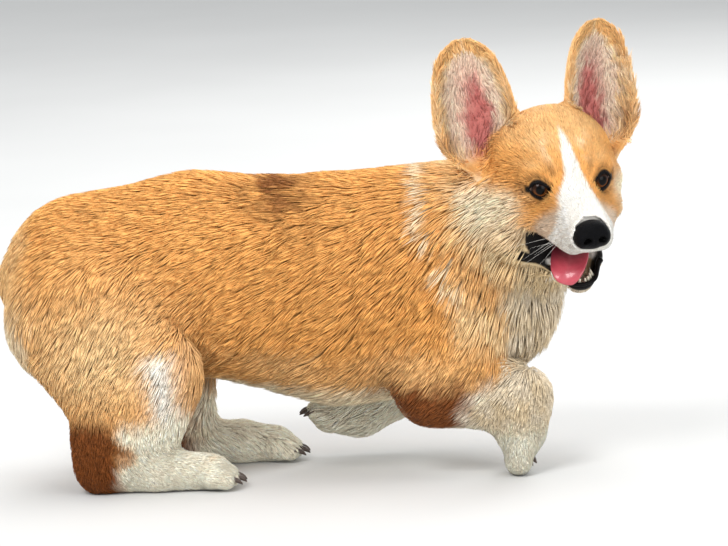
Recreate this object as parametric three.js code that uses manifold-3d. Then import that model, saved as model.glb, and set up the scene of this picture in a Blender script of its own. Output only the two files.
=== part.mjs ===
// A young Pembroke corgi at a low run, its head turned to its right, life size and in millimetres.
// +X is forward, +Y is the dog's left, +Z is up, and the floor is z = 0 under the middle of its box.
import * as THREE from "three";
import { mergeVertices } from "three/addons/utils/BufferGeometryUtils.js";
import Module from "manifold-3d";

const wasm = await Module();
wasm.setup();

// Driving dimensions
const WITHERS = 223; // top of the coat at the shoulders, above the floor
const CHEST_DEPTH = 87; // half the height of the rib cage, short coat included
const SIDE_FLATTENING = 1.3; // how much narrower than deep the trunk is
const HIP_OFFSET = 38;
const HIND_TRACK = { right: -55, left: 41 }; // sideways place of each hind foot
const FORE_TRACK = { right: -47, left: 38 };
const EYE_HALF_SPACING = 21.5;
const EYE_RADIUS = 9.6;
const EAR_HEIGHT = 100;
const EAR_WALL = 3.4;
const JAW_GAPE = THREE.MathUtils.degToRad(27);
const HEAD_PLACE = new THREE.Vector3(203.8, -88, 218.4); // the point between the eyes
const HEAD_TURN = { yaw: -75.4, pitch: 11.7, roll: 4.3 };
const SEAM = 0.3; // the gap that parts neighbouring nodes

const COATS = {
  sable: [0.72, 0.42, 0.19],
  cream: [0.86, 0.78, 0.66],
  white: [0.9, 0.87, 0.82],
  black: [0.02, 0.02, 0.025],
  iris: [0.09, 0.045, 0.02],
  tongue: [0.7, 0.27, 0.3],
};

// Smooth fields: each takes x, y, z and gives about the distance outside a form
const mix = (a, b, t) => a + (b - a) * t;

function limb(a, b, ra, rb, flat = 1) {
  const [ax, ay, az] = [a[0], a[1] * flat, a[2]];
  const [dx, dy, dz] = [b[0] - ax, b[1] * flat - ay, b[2] - az];
  const reach = dx * dx + dy * dy + dz * dz || 1;
  return (x, y, z) => {
    const [px, py, pz] = [x - ax, y * flat - ay, z - az];
    const t = Math.min(1, Math.max(0, (px * dx + py * dy + pz * dz) / reach));
    return Math.hypot(px - t * dx, py - t * dy, pz - t * dz) - mix(ra, rb, t);
  };
}

function orb(c, r) {
  const [rx, ry, rz] = typeof r === "number" ? [r, r, r] : r;
  const least = Math.min(rx, ry, rz);
  return (x, y, z) => {
    const [px, py, pz] = [(x - c[0]) / rx, (y - c[1]) / ry, (z - c[2]) / rz];
    const k0 = Math.hypot(px, py, pz);
    const k1 = Math.hypot(px / rx, py / ry, pz / rz);
    return k1 < 1e-9 ? -least : (k0 * (k0 - 1)) / k1;
  };
}

function blend(k, ...fields) {
  return (x, y, z) => {
    let d = fields[0](x, y, z);
    for (let i = 1; i < fields.length; i++) {
      const e = fields[i](x, y, z);
      const h = Math.max(k - Math.abs(d - e), 0);
      d = Math.min(d, e) - (h * h) / (4 * k);
    }
    return d;
  };
}

// The part that all the fields share, with rounded corners
function overlap(k, ...fields) {
  const outside = fields.map((field) => (x, y, z) => -field(x, y, z));
  const joinedOutside = blend(k, ...outside);
  return (x, y, z) => -joinedOutside(x, y, z);
}

function carve(k, field, tool) {
  return (x, y, z) => {
    const [d, e] = [field(x, y, z), -tool(x, y, z)];
    const h = Math.max(k - Math.abs(d - e), 0);
    return Math.max(d, e) + (h * h) / (4 * k);
  };
}

const bothSides = (field) => (x, y, z) => field(x, Math.abs(y), z);

function placed(matrix, field) {
  const e = matrix.clone().invert().elements;
  return (x, y, z) =>
    field(
      e[0] * x + e[4] * y + e[8] * z + e[12],
      e[1] * x + e[5] * y + e[9] * z + e[13],
      e[2] * x + e[6] * y + e[10] * z + e[14],
    );
}

function slope(field, p, step = 0.5) {
  const [x, y, z] = p;
  return new THREE.Vector3(
    field(x + step, y, z) - field(x - step, y, z),
    field(x, y + step, z) - field(x, y - step, z),
    field(x, y, z + step) - field(x, y, z - step),
  ).divideScalar(2 * step);
}

// Fills one corner of each cell face whose corners alternate, so that no edge has four faces
function settleSaddles(value, [nx, ny, nz]) {
  const steps = [1, nx, nx * ny];
  const faint = -1e-3;
  for (let changed = true; changed; ) {
    changed = false;
    for (let k = 1; k < nz - 2; k++)
      for (let j = 1; j < ny - 2; j++)
        for (let i = 1; i < nx - 2; i++)
          for (const [u, v] of [[0, 1], [1, 2], [2, 0]]) {
            const a = (k * ny + j) * nx + i;
            const [b, c, d] = [a + steps[u], a + steps[v], a + steps[u] + steps[v]];
            const [sa, sb, sc, sd] = [a, b, c, d].map((n) => value[n] < 0);
            if (sa !== sd || sb !== sc || sa === sb) continue;
            value[sa ? b : a] = faint;
            changed = true;
          }
  }
}

// Turns a field into a closed solid on a grid of cells: one vertex for each cell that the surface crosses
function solidFromField(field, low, high, cell, grow = 0) {
  const count = low.map((l, i) => Math.ceil((high[i] - l) / cell) + 1);
  const [nx, ny, nz] = count;
  const at = (i, j, k) => (k * ny + j) * nx + i;
  const value = new Float32Array(nx * ny * nz);
  for (let k = 0; k < nz; k++)
    for (let j = 0; j < ny; j++)
      for (let i = 0; i < nx; i++) {
        const edge = i === 0 || j === 0 || k === 0 || i === nx - 1 || j === ny - 1 || k === nz - 1;
        const d = field(low[0] + i * cell, low[1] + j * cell, low[2] + k * cell) - grow;
        value[at(i, j, k)] = edge ? Math.max(d, 0.3 * cell) : d || 1e-6;
      }
  settleSaddles(value, [nx, ny, nz]);
  const vertexOf = new Int32Array(nx * ny * nz).fill(-1);
  const points = [];
  const corners = [0, 1, 2, 3, 4, 5, 6, 7].map((n) => [n & 1, (n >> 1) & 1, n >> 2]);
  for (let k = 0; k < nz - 1; k++)
    for (let j = 0; j < ny - 1; j++)
      for (let i = 0; i < nx - 1; i++) {
        const v = corners.map(([a, b, c]) => value[at(i + a, j + b, k + c)]);
        const sum = [0, 0, 0];
        let crossings = 0;
        for (let n = 0; n < 8; n++)
          for (const bit of [1, 2, 4]) {
            const m = n | bit;
            if (m === n || v[n] < 0 === v[m] < 0) continue;
            const t = v[n] / (v[n] - v[m]);
            corners[n].forEach((c, axis) => (sum[axis] += mix(c, corners[m][axis], t)));
            crossings++;
          }
        if (!crossings) continue;
        const index = [i, j, k];
        let p = sum.map((s, axis) => low[axis] + (index[axis] + s / crossings) * cell);
        const inner = index.every((n, axis) => n > 0 && n < count[axis] - 2);
        for (let pass = 0; inner && pass < 2; pass++) {
          const g = slope(field, p);
          const move = (field(...p) - grow) / Math.max(g.lengthSq(), 0.2);
          const next = [p[0] - move * g.x, p[1] - move * g.y, p[2] - move * g.z];
          p = next.map((q, axis) => {
            const start = low[axis] + index[axis] * cell;
            return Math.min(start + 0.97 * cell, Math.max(start + 0.03 * cell, q));
          });
        }
        vertexOf[at(i, j, k)] = points.length / 3;
        points.push(...p);
      }
  const faces = [];
  const span = (a, b) =>
    Math.hypot(...[0, 1, 2].map((n) => points[3 * a + n] - points[3 * b + n]));
  const quad = (a, b, c, d) => {
    if (span(a, c) < span(b, d)) faces.push(a, b, c, a, c, d);
    else faces.push(b, c, d, b, d, a);
  };
  for (let k = 0; k < nz - 1; k++)
    for (let j = 0; j < ny - 1; j++)
      for (let i = 0; i < nx - 1; i++) {
        const inside = value[at(i, j, k)] < 0;
        const rings = [
          [at(i + 1, j, k), [0, 0, 0], [0, -1, 0], [0, -1, -1], [0, 0, -1]],
          [at(i, j + 1, k), [0, 0, 0], [0, 0, -1], [-1, 0, -1], [-1, 0, 0]],
          [at(i, j, k + 1), [0, 0, 0], [-1, 0, 0], [-1, -1, 0], [0, -1, 0]],
        ];
        for (const [far, ...around] of rings) {
          if (inside === value[far] < 0) continue;
          const loop = around.map(([a, b, c]) => vertexOf[at(i + a, j + b, k + c)]);
          quad(...(inside ? loop.reverse() : loop));
        }
      }
  return solid(new Float32Array(points), new Uint32Array(faces));
}

// Solids, and their cuts and joins
function solid(vertProperties, triVerts) {
  const made = new wasm.Manifold(new wasm.Mesh({ numProp: 3, vertProperties, triVerts }));
  if (made.volume() > 0) return made;
  return new wasm.Manifold(
    new wasm.Mesh({ numProp: 3, vertProperties, triVerts: triVerts.slice().reverse() }),
  );
}

function solidOf(geometry) {
  const bare = geometry.clone();
  bare.deleteAttribute("normal");
  bare.deleteAttribute("uv");
  const merged = mergeVertices(bare, 1e-4);
  return solid(merged.attributes.position.array, new Uint32Array(merged.index.array));
}

const moved = (made, matrix) => made.transform([...matrix.elements]);
const joined = (pieces) => wasm.Manifold.union(pieces);

function largest(made) {
  const bodies = made.decompose();
  return bodies.reduce((best, body) => (body.volume() > best.volume() ? body : best));
}

function meshOf(name, made, [r, g, b], roughness = 0.85) {
  const out = largest(made).getMesh();
  const geometry = new THREE.BufferGeometry()
    .setAttribute("position", new THREE.BufferAttribute(out.vertProperties, 3))
    .setIndex(new THREE.BufferAttribute(out.triVerts, 1));
  const material = new THREE.MeshStandardMaterial({ roughness, metalness: 0 });
  material.color.setRGB(r, g, b);
  const mesh = new THREE.Mesh(geometry, material);
  mesh.name = name;
  return mesh;
}

// The half space on the side that the normal points to, as a big block set back by an inset
function halfSpace(point, normal, inset = 0) {
  const size = 1200;
  const n = new THREE.Vector3(...normal).normalize();
  const turn = new THREE.Quaternion().setFromUnitVectors(new THREE.Vector3(0, 0, 1), n);
  const place = new THREE.Vector3(...point).addScaledVector(n, size / 2 + inset);
  const matrix = new THREE.Matrix4().compose(place, turn, new THREE.Vector3(1, 1, 1));
  return solidOf(new THREE.BoxGeometry(size, size, size).applyMatrix4(matrix));
}

function block(low, high, grow = 0) {
  const size = low.map((l, i) => high[i] - l + 2 * grow);
  const middle = low.map((l, i) => (l + high[i]) / 2);
  return solidOf(new THREE.BoxGeometry(...size).translate(...middle));
}

function egg(centre, radii, grow = 0, sides = 14) {
  return solidOf(
    new THREE.SphereGeometry(1, sides, Math.round(sides * 0.6))
      .scale(...radii.map((r) => r + grow))
      .translate(...centre),
  );
}

// Joins rings of equal count into a closed skin, with a fan over each end, drawn out to a tip if given
function loft(rings, tip) {
  const sides = rings[0].length;
  const points = rings.flat();
  const middle = (ring) =>
    ring.reduce((sum, p) => sum.add(p), new THREE.Vector3()).divideScalar(ring.length);
  points.push(middle(rings[0]), tip ?? middle(rings[rings.length - 1]));
  const [first, last] = [points.length - 2, points.length - 1];
  const end = (rings.length - 1) * sides;
  const faces = [];
  for (let s = 0; s < sides; s++) {
    const t = (s + 1) % sides;
    faces.push(first, t, s, last, end + s, end + t);
    for (let r = 0; r < rings.length - 1; r++) {
      const [a, b] = [r * sides + s, r * sides + t];
      faces.push(a, b, b + sides, a, b + sides, a + sides);
    }
  }
  const flat = new Float32Array(points.flatMap((p) => [p.x, p.y, p.z]));
  return solid(flat, new Uint32Array(faces));
}

// Seeded numbers from 0 to 1, so that the coat is the same at each run
function dice(seed) {
  let state = seed >>> 0;
  return () => {
    state = (state + 0x6d2b79f5) >>> 0;
    let t = Math.imul(state ^ (state >>> 15), 1 | state);
    t = (t + Math.imul(t ^ (t >>> 7), 61 | t)) ^ t;
    return ((t ^ (t >>> 14)) >>> 0) / 4294967296;
  };
}

// The head's own frame: +X along the muzzle, +Y to its left, +Z up, from between the eyes
const headMatrix = new THREE.Matrix4().compose(
  HEAD_PLACE,
  new THREE.Quaternion().setFromEuler(
    new THREE.Euler(
      THREE.MathUtils.degToRad(HEAD_TURN.roll),
      THREE.MathUtils.degToRad(HEAD_TURN.pitch),
      THREE.MathUtils.degToRad(HEAD_TURN.yaw),
      "ZYX",
    ),
  ),
  new THREE.Vector3(1, 1, 1),
);
const NOSE = { centre: [49.5, 0, -22], half: [9, 13.2, 11] };
const MOUTH_CORNER = [1, 33, -31];
const JAW_HINGE = new THREE.Vector3(-38, 0, -24);
const JAW_LENGTH = 79;
const JAW_TOP = -10;
const EYE = { x: -3, out: 12, up: 6 };

const skull = bothSides(
  blend(
    11,
    orb([-42, 0, 9], [47, 44, 34]),
    limb([-38, 0, 11], [-6, 0, 1], 33, 20),
    limb([-10, 17, 5], [-9, 25, 3], 13, 11.5),
    limb([-30, 25, -15], [-14, 26, -22], 26, 17),
    limb([-52, 19, -24], [-30, 24, -30], 26, 18),
    orb([-74, 34, 8], [13, 14, 18]),
  ),
);
const muzzle = bothSides(
  blend(
    7,
    limb([0, 0, -17.5], [42, 0, -21.5], 22.5, 14.2, 0.9),
    limb([2, 19, -25], [37, 9.5, -29.5], 13, 10.2),
    limb([-6, 24, -27], [14, 17, -27], 12, 8.5),
    orb(NOSE.centre, NOSE.half),
  ),
);

// The edge of the upper lip: it hangs lowest beside the canine and rises to the corner of the mouth
const lipLine = (x) => -30.5 - 9 * Math.exp(-(((x - 40) / 19) ** 2));
const belowLips = (x, y, z) => z - lipLine(x) + 3 * Math.max(0, MOUTH_CORNER[0] - x);
const mouthRoof = orb([18, 0, -36], [30, 10, 8]);
const headForm = carve(4, carve(3, blend(14, skull, muzzle), belowLips), mouthRoof);

// The lower jaw's frame is the head's, dropped about the hinge
const jawMatrix = new THREE.Matrix4()
  .makeTranslation(JAW_HINGE)
  .multiply(new THREE.Matrix4().makeRotationY(JAW_GAPE));
const jawTrough = limb([JAW_LENGTH - 16, 0, JAW_TOP + 2], [30, 0, JAW_TOP + 2], 8.5, 15);
const aboveJaw = (x, y, z) => JAW_TOP - z;
const jawForm = bothSides(
  carve(
    2.5,
    carve(
      3,
      blend(
        7,
        limb([JAW_LENGTH - 11.5, 0, -14], [44, 12, -18], 11, 11.5, 0.78),
        limb([44, 14, -17], [18, 20, -18], 12, 15),
        limb([JAW_LENGTH - 12, 0, -17], [36, 0, -25], 7, 12),
      ),
      aboveJaw,
    ),
    jawTrough,
  ),
);

// The body, in the part's frame before the origin shift
const trunk = blend(
  10,
  limb([-150, 0, 151], [-70, 0, 152], 65, 75.5, SIDE_FLATTENING),
  limb([-70, 0, 152], [36, 0, WITHERS - CHEST_DEPTH], 75, CHEST_DEPTH - 1, SIDE_FLATTENING),
  limb([36, 0, WITHERS - CHEST_DEPTH], [96, -3, 137], CHEST_DEPTH - 1, 83, SIDE_FLATTENING),
  orb([-205, 0, 150], [13, 12, 17]),
);
const neckForm = blend(
  20,
  limb([92, -2, 158], [168, -16, 182], 66, 55, 1.05),
  limb([110, -4, 118], [145, -10, 126], 66, 56, 1.1),
  limb([168, -16, 182], [176, -48, 178], 50, 38),
);

// Hind legs: a deep ham, the knee, a shaggy shin down to the hock, and a flat foot
const HIND = {
  right: {
    hip: [-150, 128, 59],
    ham: [-135, 88, 41],
    knee: [-116, 82, 46],
    stifle: [-102, 94, 28],
    shin: [-124, 56, 35],
    hock: [-139, 33, 25],
    heel: [-145, 18, 18],
    sole: [-104, 15.5, 16],
    paw: [-65, 12.5, 14.5],
  },
  left: {
    hip: [-144, 128, 58],
    ham: [-134, 84, 42],
    knee: [-104, 84, 38],
    stifle: [-84, 92, 26],
    shin: [-98, 56, 33],
    hock: [-90, 34, 24],
    heel: [-86, 18, 18],
    sole: [-44, 15.5, 16],
    paw: [-19, 13, 14.5],
  },
};

function hindLeg(side) {
  const s = side === "right" ? -1 : 1;
  const track = HIND_TRACK[side];
  const part = HIND[side];
  const sideways = { hip: s * HIP_OFFSET, ham: (s * HIP_OFFSET + track) / 2, knee: track - 2 * s };
  const point = (name) => [part[name][0], sideways[name] ?? track, part[name][1]];
  const length = (from, to, flat) =>
    limb(point(from), point(to), part[from][2], part[to][2], flat);
  const upper = blend(
    16,
    length("hip", "knee", 1.55),
    length("hip", "ham", 1.6),
    length("ham", "shin", 1.6),
    length("knee", "stifle", 1.55),
    length("knee", "shin", 1.6),
    length("shin", "hock", 1.5),
  );
  const lower = blend(
    7,
    length("hock", "heel", 1.35),
    length("heel", "sole", 1.1),
    length("sole", "paw", 0.92),
    toes(point("paw"), [1, 0], 11),
  );
  return blend(12, upper, lower);
}

// Four toes that fan out ahead of a paw: heading is the forward direction on the floor
function toes(paw, heading, reach, size = 7.6, drop = 4) {
  const spread = [-1.5, -0.5, 0.5, 1.5];
  return blend(
    2.5,
    ...spread.map((n) => {
      const ahead = reach + 4.5 - 2.2 * Math.abs(n) ** 1.4;
      const side = n * 9.2;
      const x = paw[0] + heading[0] * ahead - heading[1] * side;
      const y = paw[1] + heading[1] * ahead + heading[0] * side;
      const back = [x - heading[0] * 9, y - heading[1] * 9, paw[2] - drop + 3];
      return limb(back, [x, y, paw[2] - drop], size + 0.6, size);
    }),
  );
}

const foreRight = {
  shoulder: [96, -40, 138],
  arm: [112, -46, 92],
  elbow: [100, -47, 66],
  wrist: [160, FORE_TRACK.right, 57],
  paw: [164, FORE_TRACK.right + 1, 32],
  tip: [161, FORE_TRACK.right + 1, 8.4],
};
const foreLeft = {
  shoulder: [92, 40, 136],
  arm: [106, 42, 92],
  elbow: [92, 41, 58],
  wrist: [46, FORE_TRACK.left, 36],
  paw: [24, FORE_TRACK.left, 34],
  tip: [12, FORE_TRACK.left, 38],
};
function hangingToes(from, to, size) {
  const along = new THREE.Vector3().subVectors(new THREE.Vector3(...to), new THREE.Vector3(...from));
  along.normalize();
  return blend(
    2.5,
    ...[-1.5, -0.5, 0.5, 1.5].map((n) => {
      const tip = new THREE.Vector3(...to).addScaledVector(along, -1.2 * Math.abs(n) ** 1.5);
      const root = tip.clone().addScaledVector(along, -11);
      return limb(
        [root.x, root.y + n * 7.4, root.z],
        [tip.x, tip.y + n * 7.8, tip.z],
        size + 0.6,
        size,
      );
    }),
  );
}
const armRight = blend(
  12,
  limb(foreRight.shoulder, foreRight.arm, 50, 44, 1.7),
  limb(foreRight.arm, foreRight.elbow, 40, 27, 1.5),
);
const foreRightLower = blend(
  10,
  limb(foreRight.elbow, foreRight.wrist, 27, 28.5, 1.25),
  blend(
    7,
    limb(foreRight.wrist, foreRight.paw, 26, 20, 1.1),
    hangingToes(foreRight.paw, foreRight.tip, 10.5),
  ),
);
const armLeft = blend(
  10,
  limb(foreLeft.shoulder, foreLeft.arm, 50, 40, 1.7),
  limb(foreLeft.arm, foreLeft.elbow, 38, 25, 1.4),
);
const foreLeftLower = blend(
  10,
  limb(foreLeft.elbow, foreLeft.wrist, 24, 19.5, 1.15),
  blend(
    6,
    limb(foreLeft.wrist, foreLeft.paw, 18.5, 15, 1),
    hangingToes(foreLeft.paw, foreLeft.tip, 7.2),
  ),
);
const bodyForm = blend(
  14,
  blend(20, trunk, neckForm),
  hindLeg("right"),
  hindLeg("left"),
  blend(12, armRight, foreRightLower),
  armLeft,
);
const wholeBody = blend(5, bodyForm, foreLeftLower);
const headAndNeck = blend(13, placed(headMatrix.clone().invert(), wholeBody), headForm);
const jawInHead = placed(jawMatrix, jawForm);
const mouth = overlap(
  8,
  (x, y, z) => z - lipLine(x),
  (x) => 1.6 * (MOUTH_CORNER[0] - 2 - x),
  placed(jawMatrix, (x, y, z) => Math.min(aboveJaw(x, y, z), jawTrough(x, y, z))),
);
const fleshInHead = carve(2.5, blend(6, headAndNeck, jawInHead), mouth);
const flesh = placed(headMatrix, fleshInHead);

// Where the nodes part. Each region is made with a grow, so that the next node starts a seam away
const NECK_CUT = { point: [112, 0, 150], normal: [0.9, -0.08, 0.42] };
const HEAD_EGG = { centre: [-7, 0, -5], radii: [78, 68, 62] };
const NOSE_EGG = { centre: [52.5, 0, -22], radii: [9.5, 15, 12.5] };
const JAW_BLOCKS = [
  [[24, -34, -42], [JAW_LENGTH + 8, 34, -4]],
  [[41, -34, -10], [JAW_LENGTH + 8, 34, 7]],
];
const headRegion = (grow) => egg(HEAD_EGG.centre, HEAD_EGG.radii, grow, 16);
const JAW_EGG = { centre: [56, 0, -10], radii: [47, 38, 33] };
const jawRegionInJaw = (grow) =>
  joined(JAW_BLOCKS.map(([low, high]) => block(low, high, grow))).intersect(
    egg(JAW_EGG.centre, JAW_EGG.radii, grow, 16),
  );
const jawRegion = (grow) => moved(jawRegionInJaw(grow), jawMatrix);
const noseRegion = (grow) => egg(NOSE_EGG.centre, NOSE_EGG.radii, grow, 14);

const legRegions = {
  hind_right: (grow) =>
    joined([
      egg([-138, -76, 80], [84, 52, 72], grow),
      block([-260, -130, -40], [-44, -4, 74], grow),
    ]),
  hind_left: (grow) =>
    joined([
      egg([-126, 72, 80], [84, 50, 70], grow),
      block([-260, 4, -40], [30, 130, 70], grow).intersect(halfSpace([-30, 0, 60], [-0.35, 0, -1], -grow)),
    ]),
  fore_right: (grow) =>
    joined([
      egg([112, -84, 92], [66, 56, 70], grow),
      block([120, -130, -40], [260, -6, 86], grow).intersect(halfSpace([150, -20, 70], [0.3, -0.9, -1], -grow)),
    ]),
  fore_left: (grow) =>
    joined([
      egg([96, 78, 84], [60, 48, 66], grow),
      block([-20, 8, -40], [120, 130, 70], grow).intersect(halfSpace([50, 14, 48], [0, 0.47, -0.88], -grow)),
    ]),
};
const legCuts = {
  hind_right: [
    { name: "shank", point: [-130, 0, 66], normal: [-0.15, 0, -1] },
    { name: "foot", point: [-138, 0, 30], normal: [0.12, 0, -1] },
  ],
  hind_left: [
    { name: "shank", point: [-98, 0, 68], normal: [0.05, 0, -1] },
    { name: "foot", point: [-88, 0, 34], normal: [0.35, 0, -1] },
  ],
  fore_right: [
    { name: "forearm", point: [118, 0, 58], normal: [0.75, 0, -0.66] },
    { name: "paw", point: [162, 0, 42], normal: [0.12, 0, -1] },
  ],
  fore_left: [
    { name: "forearm", point: [96, 0, 56], normal: [-0.7, 0, -0.7] },
    { name: "paw", point: [38, 0, 34], normal: [-1, 0, -0.25] },
  ],
};
const legTops = {
  hind_right: "thigh_right",
  hind_left: "thigh_left",
  fore_right: "upper_arm_right",
  fore_left: "upper_arm_left",
};
const legBoxes = {
  hind_right: [[-240, -112, -12], [-36, 4, 160]],
  hind_left: [[-236, -4, -12], [36, 108, 160]],
  fore_right: [[40, -112, -12], [214, 6, 172]],
  fore_left: [[-16, -6, -12], [172, 102, 160]],
};
const aboveFloor = (grow = 0) => halfSpace([0, 0, 0], [0, 0, 1], -grow);
const CELL = { trunk: 22, neck: 17, thigh: 16, shank: 12, paw: 8.4, head: 7.1, jaw: 6.4, nose: 5.4, tail: 9 };

const cast = (low, high, cell) => solidFromField(flesh, low, high, cell);

const group = new THREE.Group();
const body = new THREE.Group();
const head = new THREE.Group();
head.applyMatrix4(headMatrix);
body.add(head);
group.add(body);

// Locks of the long coat: flat and tapered, sunk in at the root, they bend along the lie and overlap
function surfaceAlong(field, from, direction, reach) {
  const at = (t) => new THREE.Vector3(...from).addScaledVector(direction, t);
  let [near, far] = [0, reach];
  for (let i = 0; i < 24; i++) {
    const middle = (near + far) / 2;
    if (field(...at(middle)) < 0) near = middle;
    else far = middle;
  }
  return at(near);
}

function lock(root, out, lie, { length, width, sway = 0, lift = 0.18, sink = 7 }) {
  const across = new THREE.Vector3().crossVectors(lie, out).normalize();
  const along = new THREE.Vector3().crossVectors(out, across).normalize().multiplyScalar(-1);
  if (along.dot(lie) < 0) along.negate();
  const at = (t) =>
    root
      .clone()
      .addScaledVector(along, length * (t - 0.12))
      .addScaledVector(out, length * lift * (t - 0.5 * t * t) - sink * (1 - t) ** 2)
      .addScaledVector(across, sway * t * t)
      .add(new THREE.Vector3(0, 0, -0.1 * length * t * t));
  const thick = 0.17 * width;
  const rings = [[0, 0.7], [0.4, 1], [0.76, 0.62]].map(([t, w]) => {
    const c = at(t);
    return [[1, 0], [0, 1], [-1, 0], [0, -1]].map(([u, v]) =>
      c
        .clone()
        .addScaledVector(across, (u * w * width) / 2)
        .addScaledVector(out, v * w * thick),
    );
  });
  return loft(rings, at(1));
}

// Rows of locks: each row starts on an axis inside the flesh and fans its roots out to the surface
function lockRows(field, { rows, from, to, angles, lie, axis, seed, size }) {
  const chance = dice(seed);
  const made = [];
  for (let r = 0; r < rows; r++) {
    const t = rows > 1 ? r / (rows - 1) : 0;
    const start = new THREE.Vector3(...from).lerp(new THREE.Vector3(...to), t);
    const count = size.count(t);
    for (let n = 0; n < count; n++) {
      const turn = mix(...angles, (n + 0.5 + 0.5 * (r % 2 ? 0.5 : -0.5) + 0.3 * (chance() - 0.5)) / count);
      const direction = axis(THREE.MathUtils.degToRad(turn));
      const root = surfaceAlong(field, start.toArray(), direction, 120);
      const out = slope(field, root.toArray()).normalize();
      const vary = 0.85 + 0.3 * chance();
      made.push(
        lock(root, out, lie(root, out), {
          length: size.length(t) * vary,
          width: size.width * (0.85 + 0.3 * chance()),
          sway: 5 * (chance() - 0.5),
          lift: size.lift,
        }),
      );
    }
  }
  return made;
}
const around = (angle) => new THREE.Vector3(Math.cos(angle), Math.sin(angle), 0);
const across = (angle) => new THREE.Vector3(0, Math.cos(angle), Math.sin(angle));
const toward = (x, y, z) => new THREE.Vector3(x, y, z).normalize();

const bib = lockRows(flesh, {
  rows: 6,
  from: [158, -8, 176],
  to: [136, -6, 92],
  angles: [-100, 75],
  axis: around,
  lie: (root) => toward(-0.15, 0.1 * Math.sign(root.y + 8), -1),
  seed: 11,
  size: { count: () => 7, length: (t) => mix(40, 48, t), width: 15, lift: 0.34 },
});
const breeches = (s) =>
  lockRows(flesh, {
    rows: 4,
    from: [-150, s * 34, 140],
    to: [-136, s * 42, 72],
    angles: s < 0 ? [-172, -128] : [172, 128],
    axis: around,
    lie: () => toward(-0.45, 0, -1),
    seed: 23 + s,
    size: { count: () => 3, length: () => 34, width: 17, lift: 0.2 },
  });
const fringe = lockRows(flesh, {
  rows: 6,
  from: [-46, 0, 110],
  to: [64, 0, 100],
  angles: [-132, -48],
  axis: across,
  lie: () => toward(-1, 0, -0.25),
  seed: 37,
  size: { count: () => 3, length: () => 30, width: 17, lift: 0.3 },
});
const feathers = lockRows(flesh, {
  rows: 4,
  from: [112, FORE_TRACK.right, 64],
  to: [150, FORE_TRACK.right, 58],
  angles: [-100, -80],
  axis: across,
  lie: () => toward(-0.3, 0, -1),
  seed: 41,
  size: { count: () => 1, length: () => 20, width: 15, lift: 0.1 },
});

// Ears: each is half an oval cup whose rim faces ahead and a little outward
const EARS = {
  right: { s: -1, root: [-51, 47, -10], tip: [-63, 57, 98], width: 60, face: 18 },
  left: { s: 1, root: [-50.6, 46.6, -12.4], tip: [-61, 43, 99], width: 57, face: 14 },
};
const EAR_STEPS = [
  [0, 0.34, 9],
  [0.12, 0.7, 16],
  [0.27, 0.95, 20],
  [0.46, 1.03, 19],
  [0.64, 0.96, 15],
  [0.79, 0.83, 10],
  [0.9, 0.65, 6],
  [0.965, 0.43, 3.5],
  [1, 0.22, 2],
];

function earFrame({ s, root, tip, face }) {
  const [low, high] = [root, tip].map(([x, y, z]) => new THREE.Vector3(x, s * y, z));
  const up = new THREE.Vector3().subVectors(high, low).normalize();
  const turn = THREE.MathUtils.degToRad(face);
  const ahead = new THREE.Vector3(Math.cos(turn), s * Math.sin(turn), 0);
  const side = new THREE.Vector3().crossVectors(up, ahead).normalize();
  ahead.crossVectors(side, up).normalize();
  return { low, high, up, ahead, side };
}

function earShell(ear) {
  const { low, high, ahead, side } = earFrame(ear);
  const rings = EAR_STEPS.map(([t, spread, depth]) => {
    const centre = low.clone().lerp(high, t);
    const half = (ear.width / 2) * spread;
    const wall = EAR_WALL * mix(1.25, 0.7, t);
    const point = (angle, extra) =>
      centre
        .clone()
        .addScaledVector(side, (half - wall + extra) * Math.sin(angle))
        .addScaledVector(ahead, -(depth + extra) * Math.cos(angle));
    const ring = [];
    for (let i = 0; i <= 8; i++) ring.push(point(mix(-1.62, 1.62, i / 8), wall));
    for (let i = 6; i >= 0; i--) ring.push(point(mix(-1.5, 1.5, i / 6), 0));
    return ring;
  });
  return loft(rings);
}

function earRegion(ear, grow) {
  const { low, high, up, ahead, side } = earFrame(ear);
  const middle = low.clone().lerp(high, 0.5).addScaledVector(ahead, -7);
  const matrix = new THREE.Matrix4().makeBasis(ahead, side, up).setPosition(middle);
  return moved(egg([0, 0, 0], [30.5, 38.4, EAR_HEIGHT * 0.612], grow), matrix);
}

// Trunk
const legsGrown = joined(Object.values(legRegions).map((region) => region(SEAM)));
const trunkWhole = joined([cast([-236, -96, 20], [214, 96, 250], CELL.trunk), ...fringe])
  .intersect(halfSpace(NECK_CUT.point, NECK_CUT.normal.map((n) => -n)))
  .subtract(legsGrown);
const tailRegion = (grow) => egg([-214, 0, 150], [13, 18, 23], grow, 10);
body.add(meshOf("trunk", trunkWhole.subtract(tailRegion(SEAM)), COATS.sable));
body.add(
  meshOf("tail", cast([-244, -40, 110], [-190, 40, 190], CELL.tail).intersect(tailRegion(0)), COATS.sable),
);

// Neck
const inBody = (made) => moved(made, headMatrix);
const neckBody = joined([cast([60, -110, 20], [262, 84, 290], CELL.neck), ...bib])
  .intersect(halfSpace(NECK_CUT.point, NECK_CUT.normal, SEAM))
  .subtract(inBody(headRegion(SEAM)))
  .subtract(inBody(jawRegion(SEAM)))
  .subtract(inBody(joined(Object.values(EARS).map((ear) => earRegion(ear, SEAM)))))
  .subtract(legRegions.fore_right(SEAM))
  .subtract(legRegions.fore_left(SEAM));
body.add(meshOf("neck", neckBody, COATS.cream));

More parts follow.
